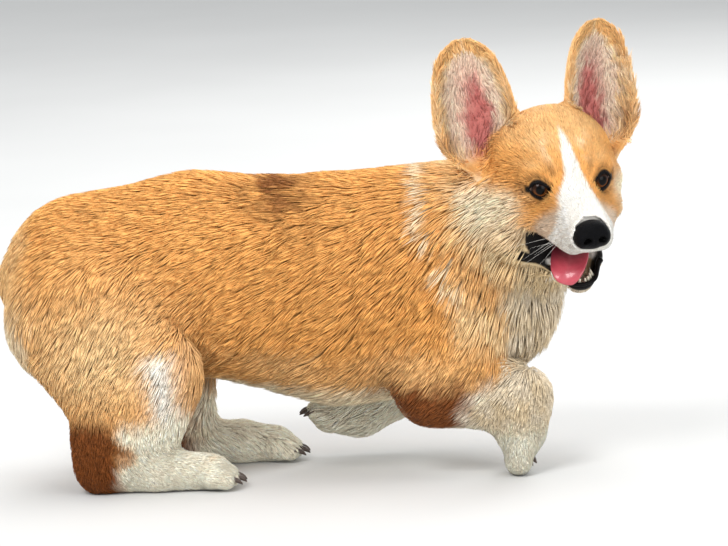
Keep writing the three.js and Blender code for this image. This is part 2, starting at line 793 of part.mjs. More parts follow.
// Claws: short cones that point ahead and down from the toes
function claws(paw, heading, reach, drop, pitch, gap = 9.2) {
  const forward = new THREE.Vector3(heading[0], heading[1], 0);
  return [-1.5, -0.5, 0.5, 1.5].map((n) => {
    const geometry = new THREE.ConeGeometry(2.5, 10, 5).translate(0, 1, 0);
    const point = new THREE.Vector3(...paw)
      .addScaledVector(forward, reach - 2.2 * Math.abs(n) ** 1.4)
      .add(new THREE.Vector3(-heading[1] * n * gap, heading[0] * n * gap, drop));
    const direction = forward.clone().setZ(Math.sin(pitch)).normalize();
    const turn = new THREE.Quaternion().setFromUnitVectors(new THREE.Vector3(0, 1, 0), direction);
    const matrix = new THREE.Matrix4().compose(point, turn, new THREE.Vector3(1, 1, 1));
    return solidOf(geometry.applyMatrix4(matrix));
  });
}

// Legs
const extras = {
  thigh_right: breeches(-1),
  thigh_left: breeches(1),
  forearm_right: feathers,
  foot_right: claws([HIND.right.paw[0], HIND_TRACK.right, HIND.right.paw[1]], [1, 0], 22, -4, -0.35),
  foot_left: claws([HIND.left.paw[0], HIND_TRACK.left, HIND.left.paw[1]], [1, 0], 22, -4, -0.35),
  paw_right: claws([161, FORE_TRACK.right + 1, 12], [1, 0], 10, 0, -0.7, 7.8),
  paw_left: claws([12, FORE_TRACK.left, 38], [-1, 0], 6.5, 0, -0.2, 7.8),
};
for (const [leg, region] of Object.entries(legRegions)) {
  const [low, high] = legBoxes[leg];
  const [upperCut, pawCut] = legCuts[leg];
  const past = (cut) => halfSpace(cut.point, cut.normal, SEAM);
  const before = (cut) => halfSpace(cut.point, cut.normal.map((n) => -n));
  const side = leg.split("_")[1];
  const pieces = [
    [legTops[leg], CELL.thigh, COATS.sable, [before(upperCut)]],
    [`${upperCut.name}_${side}`, CELL.shank, COATS.white, [past(upperCut), before(pawCut)]],
    [`${pawCut.name}_${side}`, CELL.paw, COATS.white, [past(upperCut), past(pawCut)]],
  ];
  for (const [name, cell, colour, cuts] of pieces) {
    const whole = joined([cast(low, high, cell), ...(extras[name] ?? [])]);
    const cut = [region(0), aboveFloor(), ...cuts].reduce((made, part) => made.intersect(part), whole);
    body.add(meshOf(name, cut, colour));
  }
}

// Eyes: each ball sits behind an almond between two lids
const eyeMatrix = (s) =>
  new THREE.Matrix4().compose(
    new THREE.Vector3(EYE.x, s * EYE_HALF_SPACING, 0),
    new THREE.Quaternion().setFromEuler(
      new THREE.Euler(
        0,
        THREE.MathUtils.degToRad(-EYE.up),
        THREE.MathUtils.degToRad(s * EYE.out),
        "ZYX",
      ),
    ),
    new THREE.Vector3(1, 1, 1),
  );
const ball = (radius) => solidOf(new THREE.SphereGeometry(radius, 14, 9).rotateX(Math.PI / 2));

// The opening between the lids, as a prism along the eye's axis; its inner corner is drawn toward the nose
function lidOpening(s) {
  const [wide, tall] = [EYE_RADIUS * 0.86, EYE_RADIUS * 0.57];
  const almond = new THREE.Shape().moveTo(-wide, 0.6);
  almond.quadraticCurveTo(-0.3 * wide, 2.1 * tall, wide * 1.04, -1.4);
  almond.quadraticCurveTo(0.1 * wide, -1.9 * tall, -wide, 0.6);
  const prism = new THREE.ExtrudeGeometry(almond, { depth: 30, bevelEnabled: false, curveSegments: 6 });
  // The shape's x runs from the outer corner to the inner corner, its depth along the line of sight
  const basis = new THREE.Matrix4().makeBasis(
    new THREE.Vector3(0, -s, 0),
    new THREE.Vector3(0, 0, 1),
    new THREE.Vector3(-s, 0, 0),
  );
  const placedPrism = prism.applyMatrix4(basis);
  if (s > 0) placedPrism.translate(30, 0, 0);
  return solidOf(placedPrism);
}

// Lips: a thin dark roll along the edge of each lip, from the front to the corner of the mouth
function roll(points, radius, sides = 5) {
  const rings = points.map((p, i) => {
    const ahead = new THREE.Vector3()
      .subVectors(points[Math.min(i + 1, points.length - 1)], points[Math.max(i - 1, 0)])
      .normalize();
    const u = new THREE.Vector3(0, 0, 1).addScaledVector(ahead, -ahead.z).normalize();
    const v = new THREE.Vector3().crossVectors(ahead, u);
    return Array.from({ length: sides }, (_, n) => {
      const angle = (2 * Math.PI * n) / sides;
      return p
        .clone()
        .addScaledVector(u, radius * Math.cos(angle))
        .addScaledVector(v, radius * Math.sin(angle));
    });
  });
  return loft(rings);
}

// The edge of a form at one height, from one side round the front to the other
function rim(field, centre, height, angles, steps, inset) {
  return Array.from({ length: steps + 1 }, (_, i) => {
    const angle = THREE.MathUtils.degToRad(mix(...angles, i / steps));
    const direction = new THREE.Vector3(Math.cos(angle), Math.sin(angle), 0);
    const from = new THREE.Vector3(centre, 0, height(0));
    let reach = 0;
    for (let d = 4; d < 70; d += 0.5) {
      const p = from.clone().addScaledVector(direction, d);
      if (field(p.x, p.y, height(p.x)) < 0) reach = d;
    }
    const edge = from.addScaledVector(direction, reach - inset);
    edge.z = height(edge.x);
    return edge;
  });
}

// Tongue: it rises from the floor of the mouth and lolls over the right front edge of the jaw
const TONGUE = [
  [32, 0, -11, 10, 4],
  [43, -1, -6, 13, 4.5],
  [54, -4, -3.5, 14.5, 3.6],
  [63, -8, -2.8, 14, 3],
  [70, -11.5, -3.2, 12, 2.6],
  [74.5, -14, -5.8, 8.5, 2.2],
];
function tongueBody(grow = 0) {
  const centres = TONGUE.map(([x, y, z]) => new THREE.Vector3(x, y, z));
  const rings = TONGUE.map(([, , , wide, thick], i) => {
    const ahead = new THREE.Vector3()
      .subVectors(centres[Math.min(i + 1, centres.length - 1)], centres[Math.max(i - 1, 0)])
      .normalize();
    const side = new THREE.Vector3(0, 1, 0.3 * Math.min(1, i / 3)).addScaledVector(ahead, -ahead.y).normalize();
    const up = new THREE.Vector3().crossVectors(ahead, side);
    return Array.from({ length: 12 }, (_, n) => {
      const angle = (2 * Math.PI * n) / 12;
      const groove = 0.25 * thick * Math.max(0, 1 - (2.2 * Math.cos(angle)) ** 2) * Math.max(0, Math.sin(angle));
      return centres[i]
        .clone()
        .addScaledVector(side, (wide + grow) * Math.cos(angle))
        .addScaledVector(up, (thick + grow) * Math.sin(angle) - groove);
    });
  });
  return loft(rings, new THREE.Vector3(76.5 + grow, -15.5 - grow, -9 - grow));
}
// Head
const eyeball = ball(EYE_RADIUS);
const upperLip = roll(rim(headForm, 20, (x) => lipLine(x) + 2, [-98, 98], 12, 1.6), 1.9, 4);
const headCast = solidFromField(fleshInHead, [-99, -79.3, -73.1], [72, 78, 62], CELL.head);
const headWhole = joined([headCast, upperLip, ...Object.values(EARS).map(earShell)]);
const headOnly = headWhole
  .intersect(headRegion(0))
  .subtract(jawRegion(SEAM))
  .subtract(noseRegion(SEAM))
  .subtract(moved(tongueBody(2 * SEAM), jawMatrix));
let headBody = Object.values(EARS).reduce(
  (made, ear) => made.subtract(earRegion(ear, SEAM)),
  headOnly,
);
for (const s of [-1, 1]) {
  const place = eyeMatrix(s);
  headBody = headBody
    .add(moved(ball(EYE_RADIUS + 1.7), place))
    .subtract(moved(lidOpening(s), place))
    .subtract(moved(ball(EYE_RADIUS + SEAM), place));
}
head.add(meshOf("head", headBody, COATS.sable));
for (const [side, ear] of Object.entries(EARS))
  head.add(meshOf(`ear_${side}`, headWhole.intersect(earRegion(ear, 0)), COATS.sable));
for (const [side, s] of [["right", -1], ["left", 1]])
  head.add(meshOf(`eye_${side}`, moved(eyeball, eyeMatrix(s)), COATS.iris, 0.15));

// Nose pad, with a nostril and its slit on each side
const nostrils = [-1, 1].flatMap((side) => [
  egg([57.5, side * 5.2, -21], [5, 2.9, 2.7], 0, 7),
  egg([55.5, side * 9.2, -23.5], [4, 3.6, 1.3], 0, 6),
]);
const noseBody = solidFromField(fleshInHead, [36, -20, -40], [66, 20, -5], CELL.nose)
  .intersect(noseRegion(0))
  .subtract(joined(nostrils));
head.add(meshOf("nose", noseBody, COATS.black, 0.35));

// Lower jaw, with its teeth
const fleshInJaw = placed(jawMatrix.clone().invert(), fleshInHead);
const jawCast = solidFromField(fleshInJaw, [12, -50, -54], [JAW_LENGTH + 12, 50, 18], CELL.jaw);
const teeth = [-3, -2, -1, 0, 1, 2, 3].map((n) => {
  const canine = Math.abs(n) === 3;
  const geometry = new THREE.ConeGeometry(canine ? 1.9 : 1.5, canine ? 11 : 7, 5).rotateX(Math.PI / 2);
  const turn = n * 0.42;
  return solidOf(
    geometry.translate(
      JAW_LENGTH - 16 + 10.5 * Math.cos(turn),
      8.8 * Math.sin(turn),
      JAW_TOP - (canine ? 0 : 1.5),
    ),
  );
});
const lowerLip = roll(rim(jawForm, 48, () => JAW_TOP - 1.5, [-92, 92], 10, 1.2), 1.9, 4);
const jawBody = joined([jawCast, lowerLip, ...teeth]).intersect(jawRegionInJaw(0)).subtract(tongueBody(2 * SEAM));
const jaw = new THREE.Group();
jaw.applyMatrix4(jawMatrix);
head.add(jaw);
jaw.add(meshOf("lower_jaw", jawBody, COATS.white));

jaw.add(meshOf("tongue", tongueBody(), COATS.tongue, 0.35));

// The origin lies on the floor under the middle of the whole box
const box = new THREE.Box3().setFromObject(group, true);
const middle = box.getCenter(new THREE.Vector3());
body.position.set(-middle.x, -middle.y, -box.min.z);
group.updateMatrixWorld(true);

export default group;
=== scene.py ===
"""A young Pembroke corgi at a low run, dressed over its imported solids.

Lengths are in millimetres in the maker's own frame, whose origin lies on the floor below the loins,
until Workshop.to_metres puts a finished mesh into the shared frame. The head has a frame of its own:
+X along the muzzle, +Y to the dog's left and +Z up, from the point between the eyes.
"""

import logging
import math
from dataclasses import dataclass, field
from enum import Enum
from typing import Callable, Sequence

import bmesh
import bpy
import numpy as np
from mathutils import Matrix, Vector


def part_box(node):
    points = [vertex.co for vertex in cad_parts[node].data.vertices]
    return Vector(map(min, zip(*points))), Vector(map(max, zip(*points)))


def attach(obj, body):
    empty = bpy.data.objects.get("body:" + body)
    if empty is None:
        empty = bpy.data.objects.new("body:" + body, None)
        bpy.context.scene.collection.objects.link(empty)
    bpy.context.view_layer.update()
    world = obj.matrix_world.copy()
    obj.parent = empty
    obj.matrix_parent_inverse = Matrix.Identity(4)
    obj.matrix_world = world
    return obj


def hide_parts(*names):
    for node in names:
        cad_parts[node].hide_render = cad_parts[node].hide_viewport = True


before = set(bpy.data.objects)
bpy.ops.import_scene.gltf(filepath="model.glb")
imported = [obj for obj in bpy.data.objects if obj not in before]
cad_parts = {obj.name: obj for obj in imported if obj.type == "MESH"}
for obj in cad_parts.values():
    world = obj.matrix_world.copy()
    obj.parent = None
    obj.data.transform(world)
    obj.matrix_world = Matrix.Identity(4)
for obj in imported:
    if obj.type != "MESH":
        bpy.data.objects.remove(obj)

import openvdb
from mathutils import Matrix, Vector, kdtree

logging.basicConfig(level=logging.INFO, format="%(message)s")
log = logging.getLogger("corgi")
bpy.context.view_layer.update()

Array = np.ndarray
Field = Callable[[Array], Array]
Triple = Sequence[float]


class Side(Enum):
    """The dog's own right and left, as the sign of +Y."""

    RIGHT = -1
    LEFT = 1

    @property
    def word(self) -> str:
        """The side's name in lower case."""
        return self.name.lower()


# Forms


def limb(a: Triple, b: Triple, ra: float, rb: float, flat: float = 1.0) -> Field:
    """A round bar whose radius changes from one end to the other.

    Args:
        a: First end.
        b: Second end.
        ra: Radius at the first end.
        rb: Radius at the second end.
        flat: How much narrower than deep the bar is.

    Returns:
        The field of distances outside the bar.
    """
    start = np.array([a[0], a[1] * flat, a[2]], np.float32)
    run = np.array([b[0], b[1] * flat, b[2]], np.float32) - start
    reach = float(run @ run) or 1.0

    def distance(p: Array) -> Array:
        x, y, z = p[:, 0] - start[0], p[:, 1] * flat - start[1], p[:, 2] - start[2]
        t = np.clip((x * run[0] + y * run[1] + z * run[2]) / reach, 0, 1)
        x, y, z = x - t * run[0], y - t * run[1], z - t * run[2]
        return np.sqrt(x * x + y * y + z * z) - (ra + (rb - ra) * t)

    return distance


def orb(centre: Triple, radii: Triple) -> Field:
    """An ellipsoid.

    Args:
        centre: Its middle.
        radii: Its three half widths.

    Returns:
        The field of distances outside it, nearly true close to its surface.
    """
    c, r = np.array(centre, np.float32), np.array(radii, np.float32)

    def distance(p: Array) -> Array:
        q = (p - c) / r
        k0 = np.sqrt((q * q).sum(1))
        q /= r
        k1 = np.sqrt((q * q).sum(1))
        return k0 * (k0 - 1) / np.maximum(k1, 1e-6)

    return distance


def soft_least(d: Array, e: Array, k: float) -> Array:
    """The lesser of two distances, rounded over k where they are alike."""
    h = np.maximum(k - np.abs(d - e), 0)
    return np.minimum(d, e) - h * h / (4 * k)


def blend(k: float, *fields: Field) -> Field:
    """Joins forms with fillets of about k.

    Args:
        k: Size of the fillets.
        fields: The forms.

    Returns:
        The field of the joined form.
    """

    def distance(p: Array) -> Array:
        d = fields[0](p)
        for other in fields[1:]:
            d = soft_least(d, other(p), k)
        return d

    return distance


def carve(k: float, form: Field, tool: Field) -> Field:
    """Cuts a tool out of a form, with edges rounded over k."""
    return lambda p: -soft_least(-form(p), tool(p), k)


def overlap(k: float, *fields: Field) -> Field:
    """The part that all the forms share, with edges rounded over k."""
    outside = blend(k, *[lambda p, f=f: -f(p) for f in fields])
    return lambda p: -outside(p)


def both_sides(form: Field) -> Field:
    """Mirrors the half of a form at +Y to the other side."""
    return lambda p: form(np.stack([p[:, 0], np.abs(p[:, 1]), p[:, 2]], 1))


def carried(matrix: Array, p: Array) -> Array:
    """Points moved by a 4 by 4 matrix."""
    return (p @ matrix[:3, :3].T + matrix[:3, 3]).astype(np.float32)


def turned(matrix: Array, v: Array) -> Array:
    """Directions turned by a 4 by 4 matrix."""
    return (v @ matrix[:3, :3].T).astype(np.float32)


def placed(matrix: Array, form: Field) -> Field:
    """A form moved by a matrix."""
    back = np.linalg.inv(matrix)
    return lambda p: form(carried(back, p))


def euler(yaw: float, pitch: float, roll: float, at: Triple) -> Array:
    """A matrix that rolls about X, pitches about Y, yaws about Z, in degrees, and moves to a place."""
    turns = ((yaw, "Z"), (pitch, "Y"), (roll, "X"))
    y, p, r = (Matrix.Rotation(math.radians(angle), 4, axis) for angle, axis in turns)
    return np.array(Matrix.Translation(Vector(at)) @ y @ p @ r)


def unit(v: Array) -> Array:
    """Vectors scaled to length one."""
    return v / np.maximum(np.linalg.norm(v, axis=-1, keepdims=True), 1e-9)


def step(low: float, high: float, x: Array) -> Array:
    """A smooth rise from 0 at low to 1 at high, or a fall where high is the lower."""
    t = np.clip((x - low) / (high - low), 0, 1)
    return t * t * (3 - 2 * t)


def hill(*ways: Array) -> Array:
    """A smooth hump of height 1, by the ways off its middle as shares of its width."""
    return np.exp(-sum(way**2 for way in ways))


def ripple(p: Array, scale: float, seed: int, waves: int = 7) -> Array:
    """A smooth random pattern of about -1 to 1.

    Args:
        p: The points.
        scale: The length of its waves.
        seed: Which pattern.
        waves: How many plain waves are summed.

    Returns:
        Its value at each point.
    """
    rng = np.random.default_rng(seed)
    total = np.zeros(len(p), np.float32)
    for _ in range(waves):
        k = unit(rng.normal(size=3)) * (2 * math.pi / scale) * rng.uniform(0.6, 1.6)
        total += np.sin(p @ k.astype(np.float32) + rng.uniform(0, 6.28)).astype(np.float32)
    return total / math.sqrt(waves / 2) * 0.6


# The animal's forms


@dataclass(frozen=True)
class Head:
    """The head's place, and the forms of skull, muzzle, jaw and mouth in its own frame."""

    place: Triple = (203.8, -88.0, 218.4)
    yaw: float = -75.4
    pitch: float = 11.7
    roll: float = 4.3
    mouth_corner: Triple = (1.0, 33.0, -31.0)
    hinge: Triple = (-38.0, 0.0, -24.0)
    gape: float = 27.0
    jaw_length: float = 79.0
    jaw_top: float = -10.0
    eye_at: float = -3.0
    eye_half_spacing: float = 21.5
    eye_radius: float = 9.6
    eye_out: float = 12.0
    eye_up: float = 6.0

    @property
    def matrix(self) -> Array:
        """From the head's frame to the maker's frame."""
        return euler(self.yaw, self.pitch, self.roll, self.place)

    @property
    def jaw_matrix(self) -> Array:
        """From the jaw's frame to the head's frame."""
        return euler(0, self.gape, 0, self.hinge)

    @property
    def lids(self) -> tuple[float, float]:
        """Half width and half height of the opening between the lids."""
        return self.eye_radius * 0.86, self.eye_radius * 0.57

    def eye_matrix(self, side: Side) -> Array:
        """From one eye's frame, which looks along +X, to the head's frame."""
        s = side.value
        return euler(s * self.eye_out, -self.eye_up, 0, (self.eye_at, s * self.eye_half_spacing, 0))

    def lip_line(self, x: Array) -> Array:
        """Height of the upper lip's edge along the muzzle."""
        return -30.5 - 9 * hill((x - 40) / 19)

    def upper_uncut(self) -> Field:
        """Skull and muzzle before the mouth is cut."""
        skull = blend(
            11,
            orb([-42, 0, 9], [47, 44, 34]),
            limb([-38, 0, 11], [-6, 0, 1], 33, 20),
            limb([-10, 17, 5], [-9, 25, 3], 13, 11.5),
            limb([-30, 25, -15], [-14, 26, -22], 26, 17),
            limb([-52, 19, -24], [-30, 24, -30], 26, 18),
            orb([-74, 34, 8], [13, 14, 18]),
        )
        muzzle = blend(
            7,
            limb([0, 0, -17.5], [42, 0, -21.5], 22.5, 14.2, 0.9),
            limb([2, 19, -25], [37, 9.5, -29.5], 13, 10.2),
            limb([-6, 24, -27], [14, 17, -27], 12, 8.5),
            orb([49.5, 0, -22], [9, 13.2, 11]),
        )
        return blend(14, both_sides(skull), both_sides(muzzle))

    def upper(self) -> Field:
        """Skull and muzzle, above the mouth."""
        corner = self.mouth_corner[0]
        below = lambda p: p[:, 2] - self.lip_line(p[:, 0]) + 3 * np.maximum(0, corner - p[:, 0])
        return carve(4, carve(3, self.upper_uncut(), below), orb([18, 0, -36], [30, 10, 8]))

    def trough(self) -> Field:
        """The hollow of the lower jaw, in the jaw's frame."""
        end, high = self.jaw_length - 16, self.jaw_top + 2
        return limb([end, 0, high], [30, 0, high], 8.5, 15)

    def above_jaw(self, p: Array) -> Array:
        """The space above the lower jaw's rim, in the jaw's frame."""
        return self.jaw_top - p[:, 2]

    def lower_uncut(self) -> Field:
        """The lower jaw before its rim is cut, in its own frame."""
        n = self.jaw_length
        bone = blend(
            7,
            limb([n - 11.5, 0, -14], [44, 12, -18], 11, 11.5, 0.78),
            limb([44, 14, -17], [18, 20, -18], 12, 15),
            limb([n - 12, 0, -17], [36, 0, -25], 7, 12),
        )
        return both_sides(bone)

    def lower(self) -> Field:
        """The lower jaw, in its own frame."""
        return carve(2.5, carve(3, self.lower_uncut(), self.above_jaw), both_sides(self.trough()))

    def mouth(self) -> Field:
        """The open mouth behind the lips."""
        corner = self.mouth_corner[0]
        trough = self.trough()
        return overlap(
            5,
            lambda p: p[:, 2] - self.lip_line(p[:, 0]) + 0.6,
            lambda p: 1.3 * (corner - 1 - p[:, 0]) + 0.35 * (p[:, 2] + 44) * (p[:, 2] > -44),
            placed(self.jaw_matrix, lambda p: np.minimum(self.above_jaw(p), trough(p))),
        )


@dataclass(frozen=True)
class Ear:
    """An upright ear, half an oval cup whose rim faces ahead, in the head's frame."""

    side: Side
    root: Triple
    tip: Triple
    width: float
    face: float
    wall: float = 3.4
    rows: Sequence[Triple] = (
        (0, 0.1, 5),
        (0.1, 0.4, 12),
        (0.18, 0.74, 17),
        (0.27, 0.95, 20),
        (0.46, 1.03, 19),
        (0.64, 0.96, 15),
        (0.79, 0.83, 10),
        (0.9, 0.65, 6),
        (0.965, 0.43, 3.5),
        (1, 0.22, 2),
    )

    def axes(self) -> tuple[Array, Array, Array, Array, float]:
        """Root, direction to the tip, direction ahead, direction across, and height."""
        s = self.side.value
        low = np.array([self.root[0], s * self.root[1], self.root[2]])
        high = np.array([self.tip[0], s * self.tip[1], self.tip[2]])
        up = unit(high - low)
        turn = math.radians(self.face)
        ahead = np.array([math.cos(turn), s * math.sin(turn), 0])
        across = unit(np.cross(up, ahead))
        return low, up, np.cross(across, up), across, float(np.linalg.norm(high - low))

    def places(self, p: Array) -> tuple[Array, Array, Array]:
        """Where points lie in the ear.

        Args:
            p: Points in the head's frame.

        Returns:
            Share of the height, way across, and way ahead.
        """
        low, up, ahead, across, height = self.axes()
        q = p - low
        return q @ up / height, q @ across, q @ ahead

    def half_and_depth(self, t: Array) -> tuple[Array, Array]:
        """Half width and depth of the cup at a share of its height."""
        rows = np.array(self.rows)
        t = np.clip(t, 0, 1)
        return np.interp(t, rows[:, 0], rows[:, 1]) * self.width / 2, np.interp(t, rows[:, 0], rows[:, 2])

    def shell(self, thin: float = 0.0) -> Field:
        """The cup's wall, thinned by the depth of its fur."""
        height = self.axes()[4]

        def distance(p: Array) -> Array:
            t, u, v = self.places(p)
            half, depth = self.half_and_depth(t)
            wall = self.wall * (1.25 + (0.7 - 1.25) * np.clip(t, 0, 1)) - thin
            half = half - wall / 2
            k0 = np.sqrt((u / half) ** 2 + (v / depth) ** 2)
            k1 = np.sqrt((u / half**2) ** 2 + (v / depth**2) ** 2)
            cup = np.abs(k0 * (k0 - 1) / np.maximum(k1, 1e-6))
            rim = np.sqrt((np.abs(u) - half) ** 2 + v * v)
            side = np.where(v < 0, cup, rim) - wall / 2
            past = np.maximum(np.maximum(t - 1, -t) * height, 0)
            return np.where(past > 0, np.sqrt(np.maximum(side, 0) ** 2 + past**2) - 0.3, side)

        return distance

    def share(self, q: Array, t: Array) -> Array:
        """How far points belong to the ear, faded at its root, by their share of its height."""
        return step(0.1, 0.22, t) * step(6.5, 3.5, self.shell()(q)) * (t < 1.1)


TOES = (-1.5, -0.5, 0.5, 1.5)
HIND_RIGHT = {
    "hip": (-150, 128, 59),
    "ham": (-135, 88, 41),
    "knee": (-116, 82, 46),
    "stifle": (-102, 94, 28),
    "shin": (-124, 56, 35),
    "hock": (-139, 33, 25),
    "heel": (-145, 18, 18),
    "sole": (-104, 15.5, 16),
    "paw": (-65, 12.5, 14.5),
}
HIND_LEFT = {
    "hip": (-144, 128, 58),
    "ham": (-134, 84, 42),
    "knee": (-104, 84, 38),
    "stifle": (-84, 92, 26),
    "shin": (-98, 56, 33),
    "hock": (-90, 34, 24),
    "heel": (-86, 18, 18),
    "sole": (-44, 15.5, 16),
    "paw": (-19, 13, 14.5),
}


@dataclass(frozen=True)
class Body:
    """Trunk, neck and legs in the maker's frame."""

    withers: float = 223.0
    chest_depth: float = 87.0
    side_flattening: float = 1.3
    hip_offset: float = 38.0
    hind_track: tuple[float, float] = (-55.0, 41.0)
    fore_track: tuple[float, float] = (-47.0, 38.0)

    def hind_points(self, side: Side) -> dict[str, Array]:
        """Joints of a hind leg, each with its place and radius."""
        s = side.value
        rows = HIND_RIGHT if side is Side.RIGHT else HIND_LEFT
        track = self.hind_track[0 if side is Side.RIGHT else 1]
        hip = s * self.hip_offset
        across = {"hip": hip, "ham": (hip + track) / 2, "knee": track - 2 * s}
        return {n: np.array([x, across.get(n, track), z, r]) for n, (x, z, r) in rows.items()}

    def hind_leg(self, side: Side) -> Field:
        """A hind leg with its foot and toes."""
        part = self.hind_points(side)
        length = lambda a, b, flat: limb(part[a][:3], part[b][:3], part[a][3], part[b][3], flat)
        thigh = (
            ("hip", "knee", 1.55),
            ("hip", "ham", 1.6),
            ("ham", "shin", 1.6),
            ("knee", "stifle", 1.55),
            ("knee", "shin", 1.6),
            ("shin", "hock", 1.5),
        )
        foot = (("hock", "heel", 1.35), ("heel", "sole", 1.1), ("sole", "paw", 0.92))
        toes = []
        for n in TOES:
            tip = part["paw"][:3] + [15.5 - 2.2 * abs(n) ** 1.4, n * 9.2, -4]
            toes.append(limb(tip + [-9, 0, 3], tip, 8.2, 7.6))
        upper = blend(16, *[length(*row) for row in thigh])
        lower = blend(7, *[length(*row) for row in foot], blend(2.5, *toes))
        return blend(12, upper, lower)

    @staticmethod
    def hanging_toes(start: Triple, end: Triple, size: float) -> Field:
        """Four toes that hang from a bent wrist."""
        along = unit(np.array(end, float) - np.array(start, float))
        toes = []
        for n in TOES:
            tip = np.array(end, float) - along * 1.2 * abs(n) ** 1.5
            toes.append(limb(tip - along * 11 + [0, n * 7.4, 0], tip + [0, n * 7.8, 0], size + 0.6, size))
        return blend(2.5, *toes)

    def fore_right(self) -> Field:
        """The near foreleg, bent at the wrist, its toes on the floor."""
        y = self.fore_track[0]
        high = limb([96, -40, 138], [112, -46, 92], 50, 44, 1.7)
        arm = blend(12, high, limb([112, -46, 92], [100, -47, 66], 40, 27, 1.5))
        wrist, paw, tip = [160, y, 57], [164, y + 1, 32], [161, y + 1, 8.4]
        low = blend(7, limb(wrist, paw, 26, 20, 1.1), self.hanging_toes(paw, tip, 10.5))
        return blend(12, arm, blend(10, limb([100, -47, 66], wrist, 27, 28.5, 1.25), low))

    def fore_left(self) -> tuple[Field, Field]:
        """The far upper arm, and the far forearm tucked below the chest."""
        y = self.fore_track[1]
        high = limb([92, 40, 136], [106, 42, 92], 50, 40, 1.7)
        arm = blend(10, high, limb([106, 42, 92], [92, 41, 58], 38, 25, 1.4))
        wrist, paw, tip = [46, y, 36], [24, y, 34], [12, y, 38]
        low = blend(6, limb(wrist, paw, 18.5, 15, 1), self.hanging_toes(paw, tip, 7.2))
        return arm, blend(10, limb([92, 41, 58], wrist, 24, 19.5, 1.15), low)

    def whole(self) -> Field:
        """Everything but the head."""
        middle = self.withers - self.chest_depth
        flat = self.side_flattening
        trunk = blend(
            10,
            limb([-150, 0, 151], [-70, 0, 152], 65, 75.5, flat),
            limb([-70, 0, 152], [36, 0, middle], 75, self.chest_depth - 1, flat),
            limb([36, 0, middle], [96, -3, 137], self.chest_depth - 1, 83, flat),
            orb([-205, 0, 150], [13, 12, 17]),
        )
        neck = blend(
            20,
            limb([92, -2, 158], [168, -16, 182], 66, 55, 1.05),
            limb([110, -4, 118], [145, -10, 126], 66, 56, 1.1),
            limb([168, -16, 182], [176, -48, 178], 50, 38),
        )
        arm, forearm = self.fore_left()
        legs = (self.hind_leg(Side.RIGHT), self.hind_leg(Side.LEFT), self.fore_right(), arm)
        form = blend(14, blend(20, trunk, neck), *legs)
        return blend(5, form, forearm)


HEAD = Head()
BODY = Body()
EARS = (
    Ear(Side.RIGHT, (-51, 47, -10), (-63, 57, 98), 60, 18),
    Ear(Side.LEFT, (-50.6, 46.6, -12.4), (-61, 43, 99), 57, 14),
)


def flesh() -> Field:
    """The whole animal out to the tips of its coat, ears left out."""
    joined = blend(13, placed(np.linalg.inv(HEAD.matrix), BODY.whole()), HEAD.upper())
    in_head = carve(2.5, blend(6, joined, placed(HEAD.jaw_matrix, HEAD.lower())), HEAD.mouth())
    return placed(HEAD.matrix, in_head)


# The coat's lie and length


@dataclass(frozen=True)
class Zone:
    """A place of the coat, from which its measures fade into those of its neighbours.

    Attributes:
        at: Its middle.
        reach: How far it holds.
        depth: Thickness of the coat.
        length: Length of a tuft.
        width: Width of a tuft.
        lie: The way the hair points.
    """

    at: Triple
    reach: float
    depth: float
    length: float
    width: float
    lie: Triple


def paired(at: Triple, *rest: float, lie: Triple) -> list[Zone]:
    """A zone on each side of the middle plane."""
    return [Zone((at[0], s * at[1], at[2]), *rest, (lie[0], s * lie[1], lie[2])) for s in (-1, 1)]


